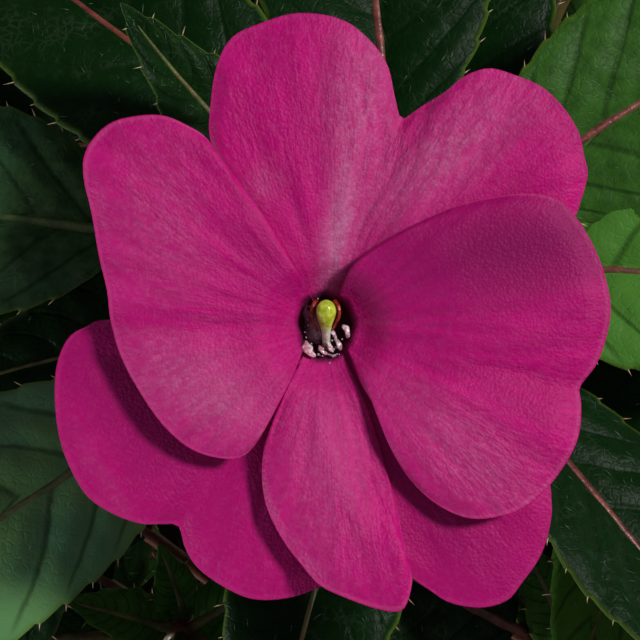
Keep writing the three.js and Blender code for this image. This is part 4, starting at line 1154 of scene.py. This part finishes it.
def makePetalLook():
    # magenta in two streaked tints, with patches of painted glare and painted shade, the lowest petals darker
    # as painted shade, a faint mottle and specks of painted glints, a painted highlight along the rim and at
    # the very edge, and a dark throat; wrinkles run along the rays in the outer part and show most where glare
    # is painted
    f = petalFinish
    openLook("petalMagenta", {"Roughness": 0.55, "Specular IOR Level": 0.16})
    place = objectPlace()
    fan, out = mapPlace()
    ray, hide = (addNode("CombineXYZ", {0: times(fan, 60.0), 1: times(out, k)})[0] for k in (3.0, 4.6))
    streak = noise(ray, 1.3, 3.0, 0.55)
    ridge = between(noise(hide, 4.4, bend=0.12), 0.34, 0.7)
    outer = between(out, 0.28, 0.6)
    mottle = noise(place, 900.0, 3.0, 0.65)
    cell = addNode("TexVoronoi", {"Vector": place, "Scale": 2600.0})
    # the brightest of the small cells: painted glints
    paintedGlint = between(addNode("SeparateXYZ", {0: cell["Color"]})[0], 0.55, 1.0)
    wash = field("wash")
    grain = timesPlus(paintedGlint, 0.5, timesPlus(mottle, 0.9, 0.3))
    grain = timesPlus(calc("SUBTRACT", ridge, 0.5), times(outer, 0.5), grain)
    colour = layered(
        tint(streak, 0.3, 0.74, f["deep"], f["lit"]),
        # a faint pale mottle: painted glare
        (times(between(mottle, 0.4, 0.72), 0.05), f["pale"]),
        # painted shade: the lowest petals darker
        (times(field("lower"), 0.6), f["deep"]),
        # painted glare towards the pale tint, broken by the grain
        (times(wash, grain, hold=True), f["pale"]),
        # painted glints
        (times(paintedGlint, 0.05), f["pale"]),
        # painted shade towards the shaded tint
        (times(wash, -1.0, hold=True), f["shaded"]),
        # painted highlights: a lighter rim and the very edge
        (times(field("rim"), 0.2), f["rim"]),
        (times(field("edge"), 0.6), f["edge"]),
        (times(field("under"), 0.4), f["back"]),
        (field("throat"), f["dark"]),
    )
    height = timesPlus(noise(ray, 5.5, 3.0, 0.6), 0.8, times(cell["Distance"], -0.6))
    height = timesPlus(mottle, 0.7, timesPlus(streak, 0.6, height))
    wrinkled = times(timesPlus(wash, 3.0, 0.5, hold=True), outer)
    return closeLook(colour, timesPlus(ridge, times(wrinkled, 0.8), height), 0.00014, 0.8)


# The column in the throat: a club that leans from the lower side up to its yellow-green cap, with its
# filaments, the torn edge of the throat and drops of nectar. Numbers are x, y and z, then the radius in
# the rows of the club and of the drops; each torn shred starts with its width

club = [
    (0.15, -2.2, -4.2, 0.55), (0.15, -1.7, -2.2, 0.5), (0.13, -0.8, -0.8, 0.5), (0.1, 0.3, 0.1, 0.72),
    (0.1, 1.3, 0.6, 1.08), (0.1, 2.1, 0.85, 1.2), (0.1, 2.8, 1.0, 0.98), (0.1, 3.2, 1.05, 0.6),
    (0.1, 3.36, 1.06, 0.15),
]
filaments = [
    [(-1.0, 3.3, -0.6), (-1.45, 2.7, 0.2), (-1.62, 1.7, 0.2), (-1.35, 0.6, -0.2), (-0.85, -0.4, -1.0)],
    [(1.1, 3.3, -0.6), (1.6, 2.6, 0.2), (1.68, 1.5, 0.2), (1.3, 0.6, -0.3), (0.9, -0.2, -1.1)],
]
tatters = [
    (0.5, [(-2.3, -1.5, -1.3), (-2.15, -2.3, -0.4), (-1.7, -3.0, -0.1), (-1.1, -3.4, -0.5)]),
    (0.34, [(2.1, 0.4, -1.2), (2.5, 0.0, -0.5), (2.7, -0.6, -0.4), (2.75, -1.2, -1.0)]),
    (0.22, [(0.75, -0.3, -1.6), (1.05, -0.7, -0.8), (1.35, -1.2, -1.1)]),
    (0.26, [(1.2, -1.2, -1.6), (1.65, -1.9, -0.9), (1.9, -2.7, -1.3)]),
    (0.24, [(0.4, -1.6, -2.0), (0.6, -2.3, -1.2), (1.0, -2.9, -1.3)]),
    (0.24, [(-0.7, -2.1, -1.8), (-0.3, -2.8, -1.1), (0.3, -3.1, -1.4)]),
]
# Loose drops about the throat; their near-white colour in the drop look is a painted highlight for glints
looseDrops = [
    (0.55, -4.2, -0.9, 0.16), (-2.0, 0.3, -1.4, 0.11), (-2.4, -0.5, -1.5, 0.12), (-1.9, 2.6, -1.2, 0.1),
    (0.95, -0.36, -1.2, 0.13), (1.1, -1.0, -1.1, 0.15), (0.85, -1.5, -1.3, 0.12), (1.35, -1.5, -1.2, 0.16),
    (1.7, -1.75, -0.9, 0.15), (1.4, -2.3, -1.2, 0.17), (1.95, -2.45, -1.3, 0.12), (1.05, -2.55, -1.3, 0.15),
    (2.05, -1.35, -1.1, 0.12), (-2.1, 1.0, -1.5, 0.09), (-2.25, -1.15, -1.4, 0.1), (-1.65, -1.9, -1.3, 0.12),
    (-0.85, 3.5, -0.6, 0.1), (-0.2, -2.5, -1.5, 0.14), (-0.75, -2.6, -1.4, 0.12),
]

# For each value of the column, where its noise turns from the first tint to the second, and both tints
columnTints = {
    "neck": (0.35, 0.7, paint(214, 216, 186), paint(244, 242, 228)),
    "cap": (0.35, 0.7, paint(164, 180, 34), paint(214, 222, 84)),
    "thread": (0.35, 0.7, paint(118, 26, 16), paint(176, 66, 40)),
    "tatter": (0.4, 0.65, paint(196, 128, 150), paint(246, 236, 236)),
}


def columnParts(rng):
    # the club with five low ridges, radius (1 + 0.03 cos 5a), then flattened tubes: the thinning threads
    # and the torn shreds, radius 0.06 + width sin(pi s)^0.6, uneven along
    s = linspace(0, 1, 26)
    line = curveThrough(club, 44)
    width = line[:, 3:] * (1 + 0.03 * cos(5 * around(24)))
    parts = [tubePart(line[:, :3], width, 24, {"cap": smooth((line[:, 1] + 0.5) / 1.2)})]
    for path in filaments:
        parts.append(tubePart(curveThrough(path, 26), 0.28 - 0.1 * s, 10, {"thread": 1.0}, squeeze=0.55))
    for width, path in tatters:
        radius = 0.06 + width * sin(pi * s) ** 0.6 * (1 + 0.25 * sin(9 * s + rng.uniform(0, 6)))
        parts.append(tubePart(curveThrough(path, 26), radius, 10, {"tatter": 1.0}, squeeze=0.4))
    return parts


def dropParts():
    # a fringe of small drops where the bottom petal starts: x from -0.8 to 1.7, following the mouth's edge
    x, n = linspace(-0.8, 1.7, 11), arange(11)
    fringe = stack([x, -3.25 + 0.1 * sin(5 * x), -1.55 + 0.25 * sway(3 * n), 0.13 + 0.05 * sway(n)], 1)
    drops = concatenate([fringe, looseDrops])
    return [ballsPart(drops[:, :3], drops[:, 3], rings=8, sides=12)]


def makeColumnLook():
    # neck, cap, threads and torn shreds, each in two tints of one fine noise
    openLook("columnGreen", {"Roughness": 0.22, "Subsurface Weight": 0.15, "Subsurface Scale": 0.0008})
    place = objectPlace()
    speck = noise(place, 1600.0, 3.0)
    colour = tint(speck, *columnTints["neck"])
    for key in ("cap", "thread", "tatter"):
        colour = layered(colour, (field(key), tint(speck, *columnTints[key])))
    return closeLook(colour, noise(place, 2600.0, 3.0), 0.00012, 0.7)


def makeDropLook():
    # clear, faintly pink to nearly white; the near white is a painted highlight, standing in for glints
    openLook("nectarDrop", {"Roughness": 0.05, "Transmission Weight": 0.6, "IOR": 1.36})
    return closeLook(layered(paint(232, 186, 208), (noise(objectPlace(), 900.0), paint(252, 240, 246))))


petalLook, columnLook, dropLook = makePetalLook(), makeColumnLook(), makeDropLook()
rng = np.random.default_rng(7)
for flower in flowers:
    name, matrix = flower["name"], flower["matrix"]
    rows, step, cupSides, spurSides = petalFinish["front" if name == "main" else "aside"]
    parts = [petalPart(petal, rows, step) for petal in petalShapes]
    parts = [placed(part, matrix) for part in [*parts, cupPart(cupSides), spurPart(spurSides)]]
    makePiece(f"petals_{name}", parts, petalLook, "petal", f"flower_{name}")
    parts = [placed(part, matrix) for part in columnParts(rng)]
    makePiece(f"column_parts_{name}", parts, columnLook, "column", f"column_{name}")
    if name == "main":
        makePiece("nectar_drops", [placed(part, matrix) for part in dropParts()], dropLook, "column")


# Buds: a furrowed egg with a curved spur; two small green sepals hold each bud and each flower

def sepalPart(back, point, side, size):
    # back + point 6 s + side (1 + 3.2 sin(pi s / 2)) - side 0.9 t^2 + width t sin(pi s)^0.7 across
    s, t = gridOf(linspace(0, 1, 16), linspace(-1, 1, 9))
    width = 1.9 * size * sin(pi * clip(s, 0.02, 0.98)) ** 0.7
    out = size * (1.0 + 3.2 * sin(pi * s / 2)) - 0.9 * t * t
    grid = back + (6.0 * size * s)[..., None] * point + out[..., None] * side
    grid = grid + (width * t)[..., None] * cross(side, point)
    return sheetPart(grid, 0.35, stack([s, (t + 1) / 2], -1), {"tone": 0.8})


def budParts(bud):
    # rings of radius 0.12 + 0.88 sin(pi s^0.8) with three furrows along the bud, and a spur that bends
    # forward
    size, point, middle = bud["size"], bud["point"], array(bud["place"], float)
    length, drop = size * budShape["length"], 0.5 * size * budShape["spur"]
    s, q = linspace(0, 1, 40)[:, None], linspace(0, 1, 30)
    furrow = 1 - 0.06 * np.abs(sin(1.5 * around(36) + 2.2 * s)) ** 0.5 * sin(pi * s)
    radius = size * budShape["radius"] * (0.12 + 0.88 * sin(pi * s ** 0.8)) * furrow
    # paler and darker bands along the bud: painted glare and painted shade
    values = {"under": 0.2 + 0.5 * (1 - s[:, 0]), "wash": 0.25 * sin(5 * s[:, 0])}
    body = tubePart(middle + length * (s - 0.5) * point, radius, 36, values)
    start = middle - 0.3 * length * point
    bend = start - drop * upward
    tail = bezier(start, bend, bend + drop * point, q)
    tail = tubePart(tail, budShape["spurRadius"] * (1.1 - 0.6 * q), 10, {"under": 1.0})
    side = unit(cross(point, upward))
    back = middle - 0.5 * length * point
    return [body, tail], [sepalPart(back, point, way * side, size) for way in (-1, 1)]


sepals = []
for k, bud in enumerate(buds):
    body, leafy = budParts(bud)
    sepals += leafy
    makePiece(f"bud_petals_{k + 1}", body, petalLook, "petal", f"bud_{k + 1}")
for flower in flowers:
    for way in (-1, 1):
        point, side = unit(array([way * 0.5, 0.3, 0.8])), unit(array([way * 0.85, 0.0, -0.5]))
        sepals.append(placed(sepalPart(array([0, 0, -8.6]), point, side, 0.85), flower["matrix"]))
makePiece("sepals", sepals, leafLook, "foliage")


# Soil: a lumpy surface strewn with crumbs, white grains and fibres, on a body that fills the pot

soilFinish = {
    "rings": 56, "sides": 150, "crumbs": 1500, "crumbSize": (0.5, 2.0), "grains": 130,
    "grainSize": (0.7, 1.9), "fibres": 170, "fibreRadius": 0.22,
    "dark": paint(30, 20, 14), "light": paint(74, 54, 38),
    "grain": (paint(206, 200, 188), paint(170, 160, 146)), "fibre": (paint(104, 74, 46), paint(66, 44, 28)),
}


def soilHeight(x, y):
    # top + lump (sin(x/7.3 + 0.4) cos(y/6.1) + 0.5 sin((x+y)/3.9)) fading near the pot's wall
    fade = 1 - smooth((hypot(x, y) - 40) / 18)
    lumps = sin(x / 7.3 + 0.4) * cos(y / 6.1) + 0.5 * sin((x + y) / 3.9)
    return soilShape["top"] + soilShape["lump"] * fade * lumps


def soilPart():
    # spun to the inside of the pot's wall less a gap, its top raised by soilHeight and a finer grit
    p, gap, level = potShape, soilShape["gap"], soilShape["top"]
    collar = p["collarRadius"] - p["collarWall"]
    slope = (p["rimLipRadius"] - collar) / (p["height"] - p["collarFoot"] - 2)
    edge = collar + slope * (level - p["collarFoot"] - 2) - gap
    wall = [
        (0.02, p["floor"] + gap), (p["baseRadius"] - p["wall"] - gap, p["floor"] + gap),
        (p["bodyTopRadius"] - p["wall"] - gap, p["collarFoot"] + gap),
        (collar - gap, p["collarFoot"] + 2 + gap), (edge, level - 1.0),
    ]
    top = [(r, level) for r in linspace(edge - 0.5, 0.02, soilFinish["rings"])]
    part = spun(wall + top, soilFinish["sides"])
    x, y, z = part["points"].T
    grit = 0.5 * sin(x * 1.9 + 2 * sin(y * 0.9)) * sin(y * 2.1 + 1.7 * sin(x * 0.7))
    grit = (grit + 0.25 * sin(x * 4.3 + y * 3.1)) * smooth((edge - hypot(x, y)) / 3)
    part["points"][:, 2] = where(z > level - 0.5, soilHeight(x, y) + grit, z)
    return part, edge


def scattered(rng, count, low, high, edge, sink):
    # lumps strewn evenly over the soil's disc, radius edge sqrt(random), each flattened and dented a little
    radius = edge * np.sqrt(rng.uniform(0, 1, count))
    turn = rng.uniform(0, 2 * pi, count)
    size = low + (high - low) * rng.uniform(0, 1, count) ** 2.2
    x, y = radius * cos(turn), radius * sin(turn)
    middle = stack([x, y, soilHeight(x, y) + sink * size], 1)
    part = ballsPart(middle, size[:, None] * rng.uniform(0.65, 1.25, (count, 3)), rings=4, sides=6)
    dents = rng.normal(0, 0.11, part["points"].shape)
    part["points"] = part["points"] + dents * np.repeat(size, len(dents) // count)[:, None]
    return part


def fibrePart(rng, edge):
    # a short shred on the soil: length s along and curl s^2 aside, a little arched
    radius, turn, lie = (edge - 6) * np.sqrt(rng.uniform()), rng.uniform(0, 2 * pi), rng.uniform(0, 2 * pi)
    s = linspace(-1, 1, 7)
    reach, curl = rng.uniform(2, 6), rng.uniform(-1.5, 1.5)
    x = radius * cos(turn) + reach * s * cos(lie) - curl * s * s * sin(lie)
    y = radius * sin(turn) + reach * s * sin(lie) + curl * s * s * cos(lie)
    z = soilHeight(x, y) + 0.5 + rng.uniform(0, 0.6) * (1 - s * s)
    return tubePart(stack([x, y, z], 1), soilFinish["fibreRadius"] * (1.1 - s * s), 5, squeeze=0.6)


def makeSoilLook():
    # two browns by a cloddy noise, darker where a slow noise makes it damp
    openLook("soilDark", {"Roughness": 0.95})
    place = objectPlace()
    brown = tint(noise(place, 260.0, 5.0, 0.7), 0.3, 0.72, soilFinish["dark"], soilFinish["light"])
    damp = times(between(noise(place, 34.0), 0.4, 0.65), 0.5)
    return closeLook(layered(brown, (damp, soilFinish["dark"])), noise(place, 900.0, 5.0, 0.7), 0.0005, 0.9)


body, edge = soilPart()
crumbs = scattered(rng, soilFinish["crumbs"], *soilFinish["crumbSize"], edge - 1.5, 0.1)
makePiece("soil_body", [body, crumbs], makeSoilLook(), "soil", "soil")
grains = scattered(rng, soilFinish["grains"], *soilFinish["grainSize"], edge - 2.5, 0.3)
makePiece("soil_grains", [grains], speckledLook("soilGrain", soilFinish["grain"], 700.0, 0.8, 0.0003), "soil")
fibres = [fibrePart(rng, edge) for k in range(soilFinish["fibres"])]
makePiece("soil_fibres", fibres, speckledLook("soilFibre", soilFinish["fibre"], 500.0, 0.9, 0.0002), "soil")


# Pot: a moulded wall with rounded edges, drain holes in its floor

potFinish = {
    "sides": 144, "rounding": 0.8, "terracotta": paint(154, 88, 60), "darkTerracotta": paint(138, 76, 51),
    "dust": paint(170, 128, 100), "roughness": 0.44,
}


def rounded(profile, radius, steps=5):
    # each corner of a closed profile becomes a quadratic curve that starts and ends radius away from it
    p = np.asarray(profile, float)
    out = []
    for before, here, after in zip(np.roll(p, 1, 0), p, np.roll(p, -1, 0)):
        a, b = (here + (end - here) * min(radius / norm(end - here), 0.4) for end in (before, after))
        out.append(bezier(a, here, b, linspace(0, 1, steps)))
    return concatenate(out)


def densified(profile, step):
    # points added along a closed profile so that none is further than step from the next
    out = []
    for a, b in zip(profile, np.roll(profile, -1, 0)):
        count = max(1, int(norm(b - a) / step))
        out.append(a + (b - a) * arange(count)[:, None] / count)
    return concatenate(out)


def potPart():
    # the wall's closed section, rounded and spun
    p = potShape
    profile = [
        (p["floorHole"], 0), (p["baseRadius"], 0), (p["bodyTopRadius"], p["collarFoot"]),
        (p["collarRadius"], p["collarFoot"]), (p["rimRadius"], p["height"]), (p["rimLipRadius"], p["height"]),
        (p["collarRadius"] - p["collarWall"], p["collarFoot"] + 2),
        (p["bodyTopRadius"] - p["wall"], p["collarFoot"]), (p["baseRadius"] - p["wall"], p["floor"]),
        (p["floorHole"], p["floor"]),
    ]
    return spun(densified(rounded(profile, potFinish["rounding"]), 6.0), potFinish["sides"], loop=True)


def makePotLook():
    # two terracotta tints that swirl round the pot, dusty in scuffs and at the foot, rougher where scuffed
    f = potFinish
    openLook("potPlastic", {"Roughness": f["roughness"]})
    place = objectPlace()
    swirl = noise(stretched(place, 5.0), 26.0, 4.0, 0.6)
    scuff = noise(place, 140.0, 5.0, 0.7)
    foot = between(addNode("SeparateXYZ", {0: place})[2], 0.0, 0.02, 1.0, 0.0)
    worn = timesPlus(foot, 0.25, times(between(scuff, 0.56, 0.76), 0.22), hold=True)
    colour = layered(tint(swirl, 0.3, 0.7, f["darkTerracotta"], f["terracotta"]), (worn, f["dust"]))
    height = calc("ADD", noise(place, 1500.0), times(swirl, 0.3))
    return closeLook(colour, height, 0.00008, 0.6, timesPlus(scuff, 0.24, f["roughness"] - 0.12))


def drainCutter(turn):
    # an upright rod through the floor at that turn of the ring
    part = tubePart([heading(turn, potShape["drainRing"], z) for z in (-4, 8)], potShape["drainRadius"], 28)
    mesh = bpy.data.meshes.new("drain")
    mesh.from_pydata((part["points"] * mm).tolist(), [], [*part["quads"].tolist(), *part["tris"].tolist()])
    return addObject("drain", mesh)


def cutHoles(piece, cutters):
    # takes the cutters out of the piece and keeps the result as its mesh
    for cutter in cutters:
        change = piece.modifiers.new("hole", "BOOLEAN")
        change.operation, change.solver, change.object = "DIFFERENCE", "EXACT", cutter
    mesh = bpy.data.meshes.new_from_object(piece.evaluated_get(bpy.context.evaluated_depsgraph_get()))
    piece.modifiers.clear()
    piece.data = mesh
    for cutter in cutters:
        bpy.data.objects.remove(cutter)


potPiece = makePiece("pot_wall", [potPart()], makePotLook(), "pot", "pot")
drains = potShape["drains"]
cutHoles(potPiece, [drainCutter(360 * (k + 0.5) / drains) for k in range(drains)])
potPiece.data.set_sharp_from_angle(angle=radians(50))
print("pot cut, with", len(potPiece.data.polygons), "faces")


# Floor and light: a lamp faces the main flower from a direction given along right, up and out of its face

lamps = {
    "sun": {"kind": "SUN", "towards": (0.68, 0.36, 0.83), "distance": 1.0, "energy": 2.68,
            "angle": radians(11), "color": (1.0, 0.985, 0.96)},
    "fill": {"kind": "AREA", "towards": (-0.85, -0.45, 0.0), "distance": 0.75, "energy": 4.0, "size": 0.3,
             "color": (0.94, 0.98, 1.0)},
}
worldLight = {"Color": (0.9, 0.95, 1.0, 1.0), "Strength": 0.17}


def makeFloor():
    # a square of 8 m under the pot
    mesh = bpy.data.meshes.new("floor")
    mesh.from_pydata([(-4, -4, 0), (4, -4, 0), (4, 4, 0), (-4, 4, 0)], [], [(0, 1, 2, 3)])
    tints = paint(214, 212, 208), paint(222, 220, 217)
    mesh.materials.append(speckledLook("floorPale", tints, 3.0, 0.8, 0.0001))
    addObject("floor", mesh)


def makeLamp(name, kind, towards, distance, **settings):
    # stands at distance metres from the main flower in its direction and shines back along it
    data = bpy.data.lights.new(name, kind)
    for key, value in settings.items():
        setattr(data, key, value)
    direction = unit(axes @ array(towards))
    lamp = addObject(name, data)
    lamp.location = Vector((mainPlace * mm + direction * distance).tolist())
    lamp.rotation_mode = "QUATERNION"
    lamp.rotation_quaternion = Vector((-direction).tolist()).to_track_quat("-Z", "Y")
    lamp.visible_camera = False


makeFloor()
for name, lamp in lamps.items():
    makeLamp(name, **lamp)
world = bpy.data.worlds.new("studio")
world.use_nodes = True
for key, value in worldLight.items():
    world.node_tree.nodes["Background"].inputs[key].default_value = value
bpy.context.scene.world = world
print("floor and light made")
